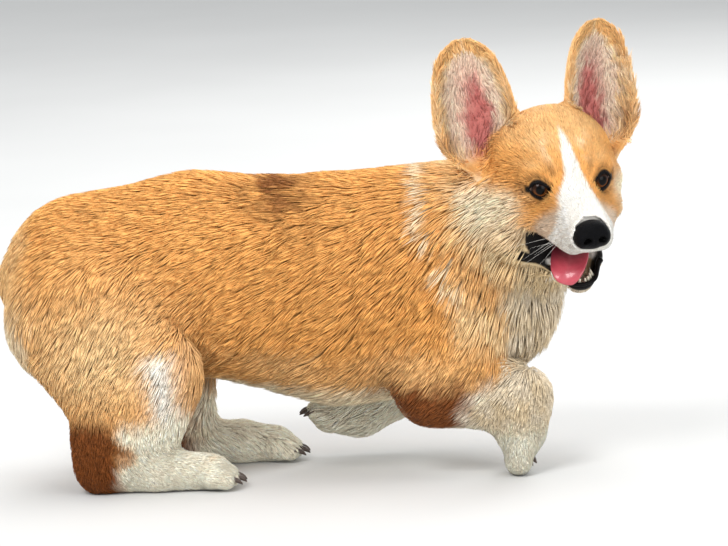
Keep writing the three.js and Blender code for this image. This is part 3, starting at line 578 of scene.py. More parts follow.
BODY_ZONES: list[Zone] = [
    Zone((150, 0, 226), 26, 6.5, 20, 1.9, (-1, 0, -0.25)),
    Zone((95, 0, 225), 34, 6, 20, 1.9, (-1, 0, -0.12)),
    Zone((10, 0, 224), 50, 5.5, 20, 1.9, (-1, 0, -0.1)),
    Zone((-90, 0, 226), 50, 5.5, 19, 1.9, (-1, 0, -0.1)),
    Zone((-180, 0, 205), 36, 5.5, 18, 1.9, (-1, 0, -0.6)),
    Zone((-216, 0, 165), 26, 6, 18, 1.9, (-0.4, 0, -1)),
    *paired((20, 60, 178), 44, 6.5, 22, 1.9, lie=(-1, 0, -0.42)),
    *paired((30, 66, 138), 40, 6.5, 24, 2.0, lie=(-1, 0, -0.62)),
    *paired((20, 48, 88), 30, 6.5, 24, 2.0, lie=(-0.9, 0, -0.75)),
    *paired((-70, 58, 160), 44, 6, 21, 1.9, lie=(-1, 0, -0.5)),
    *paired((-60, 48, 105), 30, 6, 22, 1.9, lie=(-0.9, 0, -0.6)),
    Zone((0, 0, 60), 40, 7, 24, 2.0, (-1, 0, -0.3)),
    Zone((-90, 0, 84), 32, 5, 16, 1.7, (-1, 0, -0.2)),
    *paired((96, 62, 178), 34, 7, 24, 2.0, lie=(-0.7, 0.05, -0.8)),
    *paired((108, 74, 120), 32, 6, 21, 1.9, lie=(-0.62, 0, -1)),
    *paired((150, 60, 190), 26, 8, 24, 2.0, lie=(-0.62, 0, -0.85)),
    *paired((172, 45, 150), 26, 8.5, 26, 2.1, lie=(-0.25, 0.1, -1)),
    Zone((196, -30, 150), 24, 8.5, 26, 2.1, (-0.05, 0, -1)),
    Zone((186, -6, 108), 28, 9, 28, 2.2, (-0.12, 0, -1)),
    Zone((140, -4, 66), 26, 7.5, 24, 2.0, (-0.6, 0, -0.9)),
    *paired((-130, 84, 140), 38, 6, 19, 1.9, lie=(-0.4, 0, -1)),
    *paired((-186, 66, 110), 26, 7.5, 24, 2.1, lie=(-0.62, 0, -1)),
    Zone((-196, -20, 100), 24, 7, 22, 2.0, (-0.3, 0, -1)),
    *paired((-86, 66, 96), 22, 5, 15, 1.7, lie=(-0.3, 0, -1)),
    Zone((-128, -72, 62), 20, 4.2, 12, 1.5, (-0.12, 0, -1)),
    Zone((-142, -60, 34), 15, 3, 8, 1.2, (-0.1, 0, -1)),
    Zone((-108, -58, 18), 18, 2, 5.6, 1.0, (1, 0, -0.35)),
    Zone((-66, -56, 12), 16, 1.7, 4.6, 0.9, (1, 0, -0.4)),
    Zone((-102, 56, 60), 20, 4.2, 12, 1.5, (-0.05, 0, -1)),
    Zone((-88, 46, 34), 15, 3, 8, 1.2, (0.2, 0, -1)),
    Zone((-52, 43, 18), 18, 2, 5.6, 1.0, (1, 0, -0.35)),
    Zone((-18, 42, 12), 16, 1.7, 4.6, 0.9, (1, 0, -0.4)),
    Zone((112, -64, 66), 20, 4.5, 14, 1.6, (-0.85, 0, -0.7)),
    Zone((160, -60, 62), 18, 3.2, 9, 1.3, (-0.5, 0, -1)),
    Zone((166, -48, 28), 16, 2, 5.6, 1.0, (0.1, 0, -1)),
    Zone((163, -46, 10), 10, 1.7, 4.6, 0.9, (0.3, 0, -1)),
    Zone((96, 48, 62), 18, 4, 12, 1.5, (-0.7, 0, -0.7)),
    Zone((56, 40, 38), 16, 2.8, 8, 1.2, (-1, 0, -0.3)),
    Zone((16, 38, 36), 14, 1.7, 4.8, 0.9, (-1, 0, 0)),
]
HEAD_ZONES: list[Zone] = [
    Zone((28, 0, -6), 10, 1.1, 4.2, 0.75, (-1, 0, 0.2)),
    Zone((42, 0, -12), 7, 0.8, 2.8, 0.6, (-1, 0, 0.3)),
    Zone((10, 0, 0), 9, 1.1, 4.4, 0.75, (-0.8, 0, 0.5)),
    *paired((22, 17, -22), 9, 1.1, 4.6, 0.75, lie=(-1, 0.1, -0.3)),
    *paired((38, 14, -31), 7, 0.8, 3.4, 0.65, lie=(-0.7, 0.1, -0.7)),
    *paired((8, 24, -26), 9, 1.2, 5.4, 0.8, lie=(-1, 0.1, -0.5)),
    *paired((1, 12, 2), 6, 0.8, 3.4, 0.65, lie=(-0.4, -0.2, 1)),
    *paired((0, 22, -12), 7, 0.9, 4.2, 0.7, lie=(-0.8, 0.3, -0.6)),
    *paired((-3, 26, 11), 7, 1.0, 4.6, 0.75, lie=(-0.7, 0.5, 0.7)),
    *paired((-10, 36, 0), 8, 1.1, 5.2, 0.8, lie=(-1, 0.4, 0)),
    Zone((-6, 0, 20), 10, 1.3, 5.4, 0.8, (-0.6, 0, 0.9)),
    Zone((-26, 0, 38), 13, 1.8, 7, 1.0, (-0.9, 0, 0.5)),
    Zone((-56, 0, 44), 16, 2.8, 10, 1.2, (-1, 0, -0.1)),
    *paired((-30, 28, 30), 12, 1.8, 7, 1.0, lie=(-0.8, 0.3, 0.5)),
    *paired((-28, 44, -8), 13, 2.4, 9, 1.15, lie=(-1, 0.2, -0.1)),
    *paired((-22, 42, -28), 12, 3.0, 11, 1.25, lie=(-1, 0.1, -0.55)),
    *paired((-52, 46, -24), 15, 4.5, 15, 1.5, lie=(-1, 0.05, -0.6)),
    *paired((-12, 30, -46), 11, 2.4, 10, 1.2, lie=(-0.9, 0, -0.6)),
    Zone((-84, 0, 10), 18, 5.5, 16, 1.7, (-1, 0, -0.4)),
    Zone((-34, 0, -66), 14, 5, 16, 1.6, (-0.6, 0, -1)),
    Zone((24, 0, -72), 10, 1.2, 5, 0.8, (-1, 0, -0.2)),
    *paired((8, 20, -60), 10, 1.5, 7, 0.95, lie=(-1, 0.1, -0.5)),
]


class CoatMap:
    """Measures of the coat anywhere on the animal, faded between the zones."""

    def __init__(self) -> None:
        """Gathers the zones of body and head in the maker's frame."""
        at, reach, rest, lie = [], [], [], []
        for matrix, zones in ((np.eye(4), BODY_ZONES), (HEAD.matrix, HEAD_ZONES)):
            for z in zones:
                at.append(carried(matrix, np.array([z.at], float))[0])
                lie.append(turned(matrix, unit(np.array([z.lie], float)))[0])
                reach.append(z.reach)
                rest.append((z.depth, z.length, z.width))
        self.at, self.reach = np.array(at, np.float32), np.array(reach, np.float32)
        self.rest, self.lie = np.array(rest, np.float32), np.array(lie, np.float32)

    def weights(self, p: Array) -> Array:
        """Share of each zone at each point."""
        out = np.empty((len(p), len(self.at)), np.float32)
        for i, (c, r) in enumerate(zip(self.at, self.reach)):
            d = p - c
            out[:, i] = -(d * d).sum(1) / (2 * r * r)
        out -= out.max(1, keepdims=True)
        np.exp(out, out=out)
        return out / out.sum(1, keepdims=True)

    def depth(self, p: Array, part: int = 200000) -> Array:
        """Thickness of the coat at each point, found part by part."""
        out = np.empty(len(p), np.float32)
        for i in range(0, len(p), part):
            out[i : i + part] = self.weights(p[i : i + part]) @ self.rest[:, 0]
        return out

    def measures(self, p: Array) -> tuple[Array, Array]:
        """Depth, length and width, and the lie, at each point."""
        w = self.weights(p)
        return w @ self.rest, unit(w @ self.lie)


COAT = CoatMap()


# The head's fine forms


def almond(across: Array, up: Array) -> Array:
    """How far points lie within the opening between the lids.

    Args:
        across: Way toward the inner corner of the eye.
        up: Way up.

    Returns:
        A distance that is positive inside the opening.
    """
    wide, tall = HEAD.lids
    t = np.linspace(0, 1, 40)
    x_top = -wide * (1 - t) ** 2 - 0.6 * wide * t * (1 - t) + 1.04 * wide * t**2
    top = 0.6 * (1 - t) ** 2 + 4.2 * tall * t * (1 - t) - 1.4 * t**2
    x_low = -wide * (1 - t) ** 2 + 0.2 * wide * t * (1 - t) + 1.04 * wide * t**2
    low = 0.6 * (1 - t) ** 2 - 3.8 * tall * t * (1 - t) - 1.4 * t**2
    inside = np.minimum(np.interp(across, x_top, top) - up, up - np.interp(across, x_low, low)) * 0.8
    return np.minimum(inside, np.minimum(across + wide, 1.04 * wide - across) * 0.8)


def almond_edge(steps: int) -> Array:
    """Points of the opening's edge, as ways toward the inner corner and up."""
    wide, tall = HEAD.lids
    t = np.linspace(0, 1, steps // 2 + 1)[:, None]
    start, end = np.array([-wide, 0.6]), np.array([1.04 * wide, -1.4])
    over, under = np.array([-0.3 * wide, 2.1 * tall]), np.array([0.1 * wide, -1.9 * tall])
    arc = lambda a, b, c, t: a * (1 - t) ** 2 + 2 * b * t * (1 - t) + c * t**2
    return np.concatenate([arc(start, over, end, t)[:-1], arc(end, under, start, t)[:-1]])


NOSE_PAD: Field = blend(
    4,
    orb([49.8, 0, -21.6], [9.2, 12.2, 10.2]),
    both_sides(orb([50.5, 8.2, -23.0], [7.2, 5.0, 6.4])),
    orb([47, 0, -15.5], [9.5, 10.4, 6.5]),
)


class Coated:
    """Fields of the dressed animal: the tips of its coat, and the skin below them."""

    def __init__(self) -> None:
        """Prepares the forms and frames."""
        self.form = flesh()
        self.to_head = np.linalg.inv(HEAD.matrix)
        self.to_jaw = np.linalg.inv(HEAD.jaw_matrix)
        self.ears = [ear.shell() for ear in EARS]
        self.thin_ears = [ear.shell(0.6) for ear in EARS]
        self.to_eyes = {s: np.linalg.inv(HEAD.eye_matrix(s)) for s in Side}
        self.whole_upper, self.whole_lower = HEAD.upper_uncut(), HEAD.lower_uncut()
        self.pad = NOSE_PAD

    def tips(self, p: Array) -> Array:
        """Distance outside the tips of the coat."""
        d, q = self.form(p), carried(self.to_head, p)
        for ear in self.ears:
            d = soft_least(d, ear(q), 5)
        return d

    def slope(self, p: Array) -> tuple[Array, Array]:
        """Distance outside the tips, and the way out."""
        d, reach = self.tips(p), np.float32(0.6)
        shifts = reach * np.eye(3, dtype=np.float32)
        return d, np.stack([self.tips(p + shift) - d for shift in shifts], 1) / reach

    def skin(self, p: Array) -> Array:
        """Distance outside the skin, with ears, lids and eye sockets."""
        d, q = self.form(p) + COAT.depth(p), carried(self.to_head, p)
        near = (np.abs(q) < 175).all(1)
        if near.any():
            q, e = q[near], d[near]
            hidden = COAT.depth(p[near])
            walls = [ear(q) for ear in self.thin_ears]
            # the coat thins to nothing where it parts at an ear's root
            e = e - 0.85 * hidden * step(14, 2, np.minimum(*walls))
            for wall in walls:
                e = soft_least(e, wall, 6)
            for side, matrix in self.to_eyes.items():
                ball = carried(matrix, q)
                r = np.sqrt((ball * ball).sum(1))
                e = soft_least(e, r - (HEAD.eye_radius + 1.5), 2.5)
                opening = np.maximum(-almond(-side.value * ball[:, 1], ball[:, 2]), -ball[:, 0])
                e = -soft_least(-e, opening, 0.8)
                e = np.maximum(e, HEAD.eye_radius + 0.15 - r)
            seat = np.maximum(self.pad(q) + 0.25, 43.5 - q[:, 0])
            d[near] = -soft_least(-e, seat, 1.0)
        return d

    def mouth_parts(self, q: Array) -> dict[str, Array]:
        """Shares of black lip and wet inner mouth.

        Args:
            q: Points in the head's frame.

        Returns:
            The shares "lip" and "inner", each 0 to 1.
        """
        j = carried(self.to_jaw, q)
        upper, lower = self.whole_upper(q), self.whole_lower(j)
        over_edge = q[:, 2] - HEAD.lip_line(q[:, 0])
        under_edge = HEAD.jaw_top - j[:, 2]
        wide = 33.5 - 0.45 * np.maximum(0, -44 - q[:, 2]) + 30 * step(0, 4, q[:, 0])
        tall = np.maximum(over_edge - 1.0, HEAD.jaw_top - 3.4 - j[:, 2])
        wedge = np.maximum(tall, np.maximum(-10.5 - q[:, 0], np.abs(q[:, 1]) - wide))
        wedge = step(0.7, -0.5, wedge) * (q[:, 0] < 70)
        trough = step(12, 20, j[:, 0]) * step(-2.6, -5, lower) * step(3.0, 1.0, under_edge)
        shallow = np.maximum(step(-5.5, -2.5, upper), step(-5.5, -2.5, lower))
        back = step(24, 6, q[:, 0])
        black = wedge * np.maximum(np.maximum(back, shallow), step(16, 10, q[:, 0]))
        edge = step(-6, 0, q[:, 0]) * step(1.6 + 2.2 * back, 0.9 + 1.2 * back, over_edge)
        edge = edge * step(-3, -1, over_edge) * step(-6, -3, upper)
        low = step(26, 36, j[:, 0]) * step(8.4, 6.6, under_edge)
        low = low * step(-3, -1, under_edge) * step(-9, -6, lower)
        lip = np.clip(np.maximum(np.maximum(edge, low), black), 0, 1)
        return {"lip": lip, "inner": np.clip(np.maximum(wedge, trough), 0, 1)}


# Markings


def tone(red: int, green: int, blue: int) -> Array:
    """A colour from its screen values of 0 to 255."""
    c = np.array([red, green, blue], np.float32) / 255
    return np.where(c <= 0.04045, c / 12.92, ((c + 0.055) / 1.055) ** 2.4)


def lay(colour: Array, over: Array, share: Array) -> Array:
    """One colour laid over others by a share from 0 to 1."""
    return colour + (over - colour) * np.clip(share, 0, 1)[:, None]


def plain(colour: Array, count: int) -> Array:
    """One colour for each of many points."""
    return np.repeat(colour[None], count, 0)


def shade(red: int, green: int, blue: int) -> Array:
    """A palette's field that holds a colour."""
    return field(default_factory=lambda: tone(red, green, blue))


@dataclass(frozen=True)
class Palette:
    """The colours of coat, mouth, eyes and horn."""

    gold: Array = shade(231, 169, 94)
    saddle: Array = shade(240, 178, 102)
    dark: Array = shade(132, 76, 36)
    rust: Array = shade(128, 66, 22)
    pale: Array = shade(244, 210, 158)
    cream: Array = shade(244, 226, 194)
    white: Array = shade(252, 247, 238)
    foot: Array = shade(255, 244, 222)
    bib: Array = shade(226, 206, 172)
    cheek: Array = shade(254, 236, 206)
    jowl: Array = shade(242, 218, 180)
    throat: Array = shade(226, 202, 160)
    muzzle: Array = shade(226, 203, 178)
    eye_corner: Array = shade(112, 72, 46)
    ear: Array = shade(236, 186, 124)
    ear_inside: Array = shade(240, 214, 192)
    ear_blush: Array = shade(222, 170, 158)
    ear_deep_shade: Array = shade(150, 84, 80)
    pink: Array = shade(190, 106, 102)
    lip: Array = shade(15, 13, 13)
    lip_roll: Array = shade(12, 10, 10)
    lid: Array = shade(11, 8, 8)
    mouth: Array = shade(96, 38, 40)
    tongue: Array = shade(180, 64, 78)
    tongue_root_shade: Array = shade(104, 32, 44)
    tongue_groove: Array = shade(176, 76, 86)
    tooth: Array = shade(238, 228, 206)
    claw: Array = shade(70, 56, 48)
    whisker: Array = shade(240, 236, 228)
    nose: Array = shade(4, 4, 6)
    nostril: Array = shade(4, 4, 4)
    iris: Array = shade(38, 20, 11)
    iris_lit_below: Array = shade(124, 72, 34)
    pupil: Array = shade(1, 1, 1)
    iris_edge: Array = shade(16, 10, 8)
    eye_white: Array = shade(150, 120, 104)


PALETTE = Palette()


class Markings:
    """Where each colour lies on the animal."""

    def __init__(self, coated: Coated) -> None:
        """Keeps the fields."""
        self.coated = coated

    def body(self, p: Array) -> Array:
        """Colours of trunk, neck and legs at points of the maker's frame."""
        x, y, z = p[:, 0], p[:, 1], p[:, 2]
        c = PALETTE
        w, v = ripple(p, 62, 1), ripple(p, 19, 2)
        out = plain(c.gold, len(p))
        out = lay(out, c.saddle, step(140, 205, z + 10 * w))
        stripe = hill((x - 8 + 0.5 * (z - 208)) / 24, (z - 214) / 24)
        out = lay(out, c.dark, 0.95 * stripe * step(-1.2, 0.3, v))
        out = lay(out, c.dark, 0.22 * step(185, 215, z) * step(0.1, 0.9, v) * step(-190, -120, x))
        out = lay(out, c.pale, 0.5 * step(-170, -205, x + 8 * w))
        out = lay(out, c.pale, 0.45 * step(120, 70, z + 10 * w) * step(-90, -50, x))
        out = lay(out, c.pale, 0.9 * hill((x + 138) / 56, (z - 112) / 46))
        out = lay(out, c.cream, 0.8 * step(-186, -202, x + 6 * v) * step(160, 130, z) * step(50, 70, z))
        belly = step(84, 66, z + 7 * w + 3 * v) * step(-112, -92, x) * step(150, 128, x)
        belly *= step(72, 50, np.abs(y) + 0.25 * z)
        out = lay(out, c.cream, 0.9 * belly)
        groin = hill((x + 72) / 15, (z - 74) / 10) * (np.abs(y) < 60)
        out = lay(out, c.dark, 0.5 * groin)
        return self.chest(self.legs(out, p, w, v), p, w, v)

    @staticmethod
    def legs(out: Array, p: Array, w: Array, v: Array) -> Array:
        """The body's colours with those of the legs, by a broad and a fine pattern."""
        x, y, z = p[:, 0], p[:, 1], p[:, 2]
        c = PALETTE
        # hind legs: a pale strip ahead of the thigh, rust behind the shank, white in front and on the foot
        for side, heel in ((Side.RIGHT, -128.0), (Side.LEFT, -76.0)):
            mine = step(-6, 6, side.value * y)
            strip = hill((x - heel - 37 + 0.12 * (z - 74)) / 11) * step(122, 104, z + 5 * w)
            strip = strip * step(30, 50, z)
            out = lay(out, c.white, 0.9 * mine * strip * step(40, 52, np.abs(y)))
            shank = step(74, 52, z + 5 * w) * (x < heel + 60) * (x > heel - 60)
            out = lay(out, c.rust, 0.95 * mine * shank * step(heel + 8, heel - 10, x + 4 * v))
            out = lay(out, c.foot, mine * shank * step(heel - 6, heel + 12, x + 4 * v))
            foot = mine * step(30, 22, z + 2 * v) * step(heel - 12, heel - 2, x + 2 * v)
            out = lay(out, c.foot, foot * (x < heel + 110) * step(95, 60, z))
        # forelegs: brown down the outer forearm, white from the wrist on
        near = y < 0
        fore = step(88, 66, z + 5 * v) * step(52, 80, x)
        out = lay(out, c.rust, 0.95 * near * fore * step(-28, -46, y))
        out = lay(out, c.foot, near * fore * step(122, 144, x + 0.4 * (60 - z) + 5 * v))
        out = lay(out, c.foot, near * fore * step(44, 34, z + 2 * v))
        return lay(out, c.foot, (y > 10) * step(70, 58, z + 4 * v) * step(-30, -6, x) * step(150, 120, x))

    @staticmethod
    def chest(out: Array, p: Array, w: Array, v: Array) -> Array:
        """The body's colours with those of collar, chest and throat."""
        x, y, z = p[:, 0], p[:, 1], p[:, 2]
        c = PALETTE
        line = np.interp(z, [110, 119, 150, 190, 226], [160, 150, 122, 101, 108])
        wide = np.interp(z, [110, 150, 190, 226], [11, 6.5, 4, 3.5])
        streak = hill((x - line - 3 * w) / wide) * step(100, 118, z)
        out = lay(out, c.cream, 0.92 * streak * step(-1.4, -0.1, v))
        out = lay(out, c.cream, 0.5 * hill((x - 110) / 8, (z - 224) / 9))
        out = lay(out, c.pale, 0.8 * step(112, 134, x + 2 * v) * step(90, 120, z) * step(-1.8, 0, w))
        front = np.interp(z, [60, 82, 109, 138, 162, 182, 202], [138, 148, 157, 162, 168, 175, 186])
        bib = step(-6, 10, x - front - 6 * w - 3 * v) * step(212, 192, z + 5 * w)
        bib = bib * step(30, 52, z)
        low_chest = step(112, 128, x - 0.3 * (z - 60)) * step(84, 66, z + 5 * w)
        low_chest = low_chest * step(36, 50, z) * step(48, 36, np.abs(y))
        out = lay(out, c.bib, np.maximum(bib, low_chest))
        return lay(out, c.white, 0.28 * step(0.4, 1, bib) * step(-0.9, 0.6, v))

    def head(self, q: Array) -> Array:
        """Colours of the head, ears left out, at points of its own frame."""
        x, a, z = q[:, 0], np.abs(q[:, 1]), q[:, 2]
        c = PALETTE
        w, v = ripple(q, 30, 11), ripple(q, 9, 12)
        out = plain(c.saddle, len(q))
        out = lay(out, c.pale, 0.45 * step(14, 34, z + 4 * w))
        out = lay(out, c.gold, 0.35 * step(24, 36, a) * step(-16, 0, z) * step(-34, -14, x))
        cheek = np.exp(-(((x + 30) / 32) ** 4) - ((z + 20) / 17) ** 4)
        out = lay(out, c.cheek, cheek * step(24, 34, a))
        out = lay(out, c.cream, 0.6 * hill((a - 13) / 5, (z - 24) / 8) * step(-0.6, 0.6, v))
        out = lay(out, c.gold, 0.5 * hill((x - 4) / 9, (a - 20) / 7, (z + 13) / 7))
        out = lay(out, c.jowl, 0.8 * step(-16, -36, z + 4 * w) * step(-66, -40, x))
        out = lay(out, c.throat, step(-34, -48, z + 3 * w) * step(-56, -38, x))
        along = [-56, -46, -38, -16, -5, 4, 19, 35, 46, 56]
        half = np.interp(x - z, along, [-2, 0.6, 2.0, 3.7, 4.6, 6.2, 11.5, 14.5, 16.5, 24])
        out = lay(out, c.muzzle, step(6, 17, x + 2 * w - 0.12 * (a - 20)) * step(24, 40, x - z))
        out = lay(out, c.white, step(1.8, -1.6, a - half - 0.9 * w - 0.6 * v) * (z > -60))
        out = lay(out, c.white, step(34, 40, x + w) * step(24, 40, x - z))
        mark = hill((a - 14.5 - 0.3 * (z - 12)) / 2.6, (z - 12.0) / 5.0) * (x > -28)
        out = lay(out, c.eye_corner, 0.45 * mark)
        brow = hill((a - 24) / 6, (z - 15) / 3.6) * (x > -28)
        out = lay(out, c.pale, 0.35 * brow)
        freckle = step(0.7, 1.3, ripple(q, 2.6, 15)) * step(12, 24, x) * step(-14, -24, z) * step(8, 14, a)
        return lay(out, c.dark, 0.4 * freckle)

    def ears(self, q: Array) -> tuple[Array, Array, Array]:
        """Colours of the ears.

        Args:
            q: Points in the head's frame.

        Returns:
            Their colours, the share by which each point belongs to an ear, and how bare it is.
        """
        c, count = PALETTE, len(q)
        out, share, bare = plain(c.ear, count), np.zeros(count), np.zeros(count)
        for ear in EARS:
            t, u, v = ear.places(q)
            half, depth = ear.half_and_depth(t)
            k = np.sqrt((u / half) ** 2 + (v / depth) ** 2)
            mine = ear.share(q, t)
            inside = step(1.0, 0.95, k + 0.01 * ripple(q, 9, 21)) * (v < 2)
            side = -ear.side.value * u / half + 0.08 * ripple(q, 11, 22)
            way = np.interp(t, [0.0, 0.15, 0.35, 0.6, 0.9], [-0.1, -0.16, -0.06, 0.0, 0.0])
            up = [0.02, 0.1, 0.2, 0.35, 0.55, 0.7, 0.82, 0.9]
            open_ = np.interp(t, up, [-0.1, 0.26, 0.5, 0.68, 0.78, 0.7, 0.44, -0.1])
            off = np.abs(side - way)
            cup = step(0.12, -0.1, off - open_)
            rosy = np.interp(t, [0.06, 0.15, 0.3, 0.45, 0.62, 0.75], [0.05, 0.24, 0.34, 0.3, 0.14, -0.1])
            pink = step(0.16, -0.14, np.abs(side - way - 0.12) - rosy)
            hollow = plain(c.ear_inside, count)
            hollow = lay(hollow, c.ear_blush, 0.7 * step(0.5, 0.1, off) * step(0.86, 0.6, t))
            hollow = lay(hollow, c.pink, 0.9 * pink)
            # painted shade: the pink inside the cup is darkened toward the ear's root, deep in the hollow
            hollow = lay(hollow, c.ear_deep_shade, 0.45 * pink * step(0.42, 0.15, t))
            back = lay(plain(c.ear, count), c.pale, 0.5 * step(-0.2, 0.8, ripple(q, 26, 23)))
            rim = lay(plain(c.ear, count), c.cream, step(0.3, 0.0, off - open_) * 0.6)
            # painted shade: a dark spot low on the ear's outer edge stands for the shade inside its small
            # pouch
            rim = lay(rim, c.dark, 0.7 * hill((t - 0.24) / 0.035, (side + 0.78) / 0.14))
            out = lay(out, lay(back, lay(rim, hollow, cup), inside), mine > 0.01)
            share = np.maximum(share, mine)
            bare = np.maximum(bare, mine * inside * pink * cup)
        return out, share, bare

    def at(self, p: Array) -> tuple[Array, Array]:
        """Colour and bareness at points of the maker's frame."""
        q = carried(self.coated.to_head, p)
        c = PALETTE
        reach = np.sqrt(((q[:, 0] + 18) / 86) ** 2 + (q[:, 1] / 66) ** 2 + ((q[:, 2] + 8) / 66) ** 2)
        belongs = step(1.12, 0.92, reach + 0.04 * ripple(q, 24, 31))[:, None]
        out = self.body(p) * (1 - belongs) + self.head(q) * belongs
        ear_colour, share, bare = self.ears(q)
        out = out * (1 - share[:, None]) + ear_colour * share[:, None]
        parts = self.coated.mouth_parts(q)
        lip = parts["lip"] * (share < 0.1) * step(1.3, 1.1, reach)
        inner = parts["inner"] * step(1.3, 1.1, reach) * (share < 0.1)
        out = lay(lay(out, c.lip, lip), c.mouth, inner * (1 - lip))
        bare = np.maximum(bare, np.maximum(lip, inner))
        for side, matrix in self.coated.to_eyes.items():
            ball = carried(matrix, q)
            edge = almond(-side.value * ball[:, 1], ball[:, 2])
            front = (ball[:, 0] > 0) * (np.linalg.norm(ball, axis=1) < HEAD.eye_radius + 6)
            ring = step(-3.0, -1.3, edge) * front
            out = lay(lay(out, c.dark, 0.5 * (step(-5.0, -2.2, edge) * front)), c.lip, ring)
            bare = np.maximum(bare, ring)
        bare = np.maximum(bare, step(0.3, -0.3, self.coated.pad(q)) * (share < 0.1))
        sole = step(3.2, 1.4, p[:, 2])
        return lay(out, c.lip, sole), np.maximum(bare, sole)


# Workshop


def linked(name: str, data: bpy.types.ID) -> bpy.types.Object:
    """A new object in the scene."""
    made = bpy.data.objects.new(name, data)
    bpy.context.scene.collection.objects.link(made)
    return made


def mesh_of(name: str, bm: bmesh.types.BMesh) -> bpy.types.Mesh:
    """A bmesh written to a new mesh and freed."""
    mesh = bpy.data.meshes.new(name)
    bm.to_mesh(mesh)
    bm.free()
    return mesh


def read_rows(rows: bpy.types.bpy_prop_collection, key: str, width: int) -> Array:
    """One measure of a mesh's points or corners.

    Args:
        rows: The points or corners.
        key: The measure.
        width: How many numbers it has.

    Returns:
        An array with a row for each of them.
    """
    flat = np.empty(len(rows) * width, np.float32)
    rows.foreach_get(key, flat)
    return flat.reshape(-1, width)


class Workshop:
    """Turns meshes of the maker's frame into pieces of the shared frame."""

    def __init__(self) -> None:
        """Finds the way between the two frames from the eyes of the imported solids."""
        middles, wanted = [], []
        for side in Side:
            low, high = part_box(f"eye_{side.word}")
            middles.append((np.array(low) + np.array(high)) * 500)
            eye = np.array([[HEAD.eye_at, side.value * HEAD.eye_half_spacing, 0.0]])
            wanted.append(carried(HEAD.matrix, eye)[0])
        off = np.array(middles) - np.array(wanted)
        self.shift = off.mean(0)
        spread = float(np.abs(off - self.shift).max())
        log.info("frame shift %s, its spread %.3f mm", self.shift.round(3), spread)

    def to_metres(self, p: Array) -> Array:
        """Points of the maker's frame in metres of the shared frame."""
        return (np.asarray(p, float) + self.shift) / 1000

    def points(self, made: bpy.types.Object, matrix: Array | None = None) -> Array:
        """A piece's points in the maker's frame, or in one that a matrix leads from."""
        p = np.asarray(read_rows(made.data.vertices, "co", 3), float) * 1000 - self.shift
        p = p.astype(np.float32)
        return p if matrix is None else carried(np.linalg.inv(matrix), p)

    def piece(self, name: str, points: Array, faces: Array) -> bpy.types.Object:
        """Makes a smooth mesh object.

        Args:
            name: Its name.
            points: Corners in the maker's frame.
            faces: Its faces, all quads or all triangles.

        Returns:
            The object, linked to the scene.
        """
        mesh = bpy.data.meshes.new(name)
        starts = (np.arange(len(faces)) * faces.shape[1]).astype(np.int32)
        mesh.vertices.add(len(points))
        mesh.vertices.foreach_set("co", self.to_metres(points).astype(np.float32).ravel())
        mesh.loops.add(faces.size)
        mesh.loops.foreach_set("vertex_index", faces.reshape(-1).astype(np.int32))
        mesh.polygons.add(len(starts))
        mesh.polygons.foreach_set("loop_start", starts)
        mesh.update(calc_edges=True)
        mesh.shade_smooth()
        return linked(name, mesh)

    def from_bmesh(self, name: str, bm: bmesh.types.BMesh, matrix: Array) -> bpy.types.Object:
        """Makes an object of a bmesh modelled in millimetres.

        Args:
            name: Its name.
            bm: The bmesh, which is freed.
            matrix: From its frame to the maker's frame.

        Returns:
            The object, linked to the scene.
        """
        to_metres = Matrix.Diagonal((0.001,) * 3 + (1,)) @ Matrix.Translation(Vector(self.shift))
        for one in (Matrix(matrix.tolist()), to_metres):
            bmesh.ops.transform(bm, matrix=one, verts=bm.verts)
        bmesh.ops.recalc_face_normals(bm, faces=bm.faces)
        mesh = mesh_of(name, bm)
        mesh.shade_smooth()
        return linked(name, mesh)

    @staticmethod
    def finish(
        made: bpy.types.Object, material: bpy.types.Material, slot: str, stands_for: Sequence[str] = ()
    ) -> None:
        """Dresses a piece and ties it to the frame.

        Args:
            made: The piece.
            material: Its finish.
            slot: Not used.
            stands_for: The solids that it replaces.
        """
        made.data.materials.clear()
        made.data.materials.append(material)
        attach(made, "root")
        if stands_for:
            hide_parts(*stands_for)
        log.info("%s: %d faces", made.name, len(made.data.polygons))


def paint(mesh: bpy.types.Mesh, colours: Array) -> None:
    """Paints each corner point of a mesh, or all of them in one colour."""
    rgba = np.ones((len(mesh.vertices), 4), np.float32)
    rgba[:, :3] = colours
    mesh.color_attributes.new("Paint", "FLOAT_COLOR", "POINT").data.foreach_set("color", rgba.ravel())


def cast(form: Field, low: Triple, high: Triple, cell: float, block: int = 4) -> tuple[Array, Array]:
    """Turns a field into a closed mesh of quads.

    Args:
        form: The field.
        low: Lowest corner of its room.
        high: Highest corner of its room.
        cell: Size of the quads.
        block: How many cells are looked at together.

    Returns:
        Its points and its quads.
    """
    low = np.array(low, np.float32)
    blocks = np.ceil((np.array(high) - low) / (cell * block)).astype(int)
    grid = np.stack(np.meshgrid(*[np.arange(n) for n in blocks], indexing="ij"), -1).reshape(-1, 3)
    span = np.float32(cell * block)
    shares = np.array_split(grid.astype(np.float32), 12)
    rough = np.concatenate([form(low + (part + 0.5) * span) for part in shares])
    limit = 1.75 * cell * block * 0.87 + 2.5
    close = np.abs(rough) < limit
    value = np.sign(rough).reshape(blocks).astype(np.float32) * 3 * cell
    for axis in range(3):
        value = np.repeat(value, block, axis)
    inner = np.stack(np.meshgrid(*[np.arange(block)] * 3, indexing="ij"), -1).reshape(-1, 3)
    for part in np.array_split(grid[close], max(1, int(close.sum() * block**3 / 300000))):
        at = (part[:, None] * block + inner[None]).reshape(-1, 3)
        value[at[:, 0], at[:, 1], at[:, 2]] = form(low + at.astype(np.float32) * np.float32(cell))
    np.clip(value, -3 * cell, 3 * cell, out=value)
    for axis in range(3):
        for edge in (0, -1):
            rim = np.moveaxis(value, axis, 0)[edge]
            np.maximum(rim, 0.3 * cell, out=rim)
    volume = openvdb.FloatGrid(background=3 * cell)
    volume.copyFromArray(value)
    points, _, quads = volume.convertToPolygons(isovalue=0.0, adaptivity=0.0)
    return points * cell + low, quads.astype(np.int64)


# Finishes


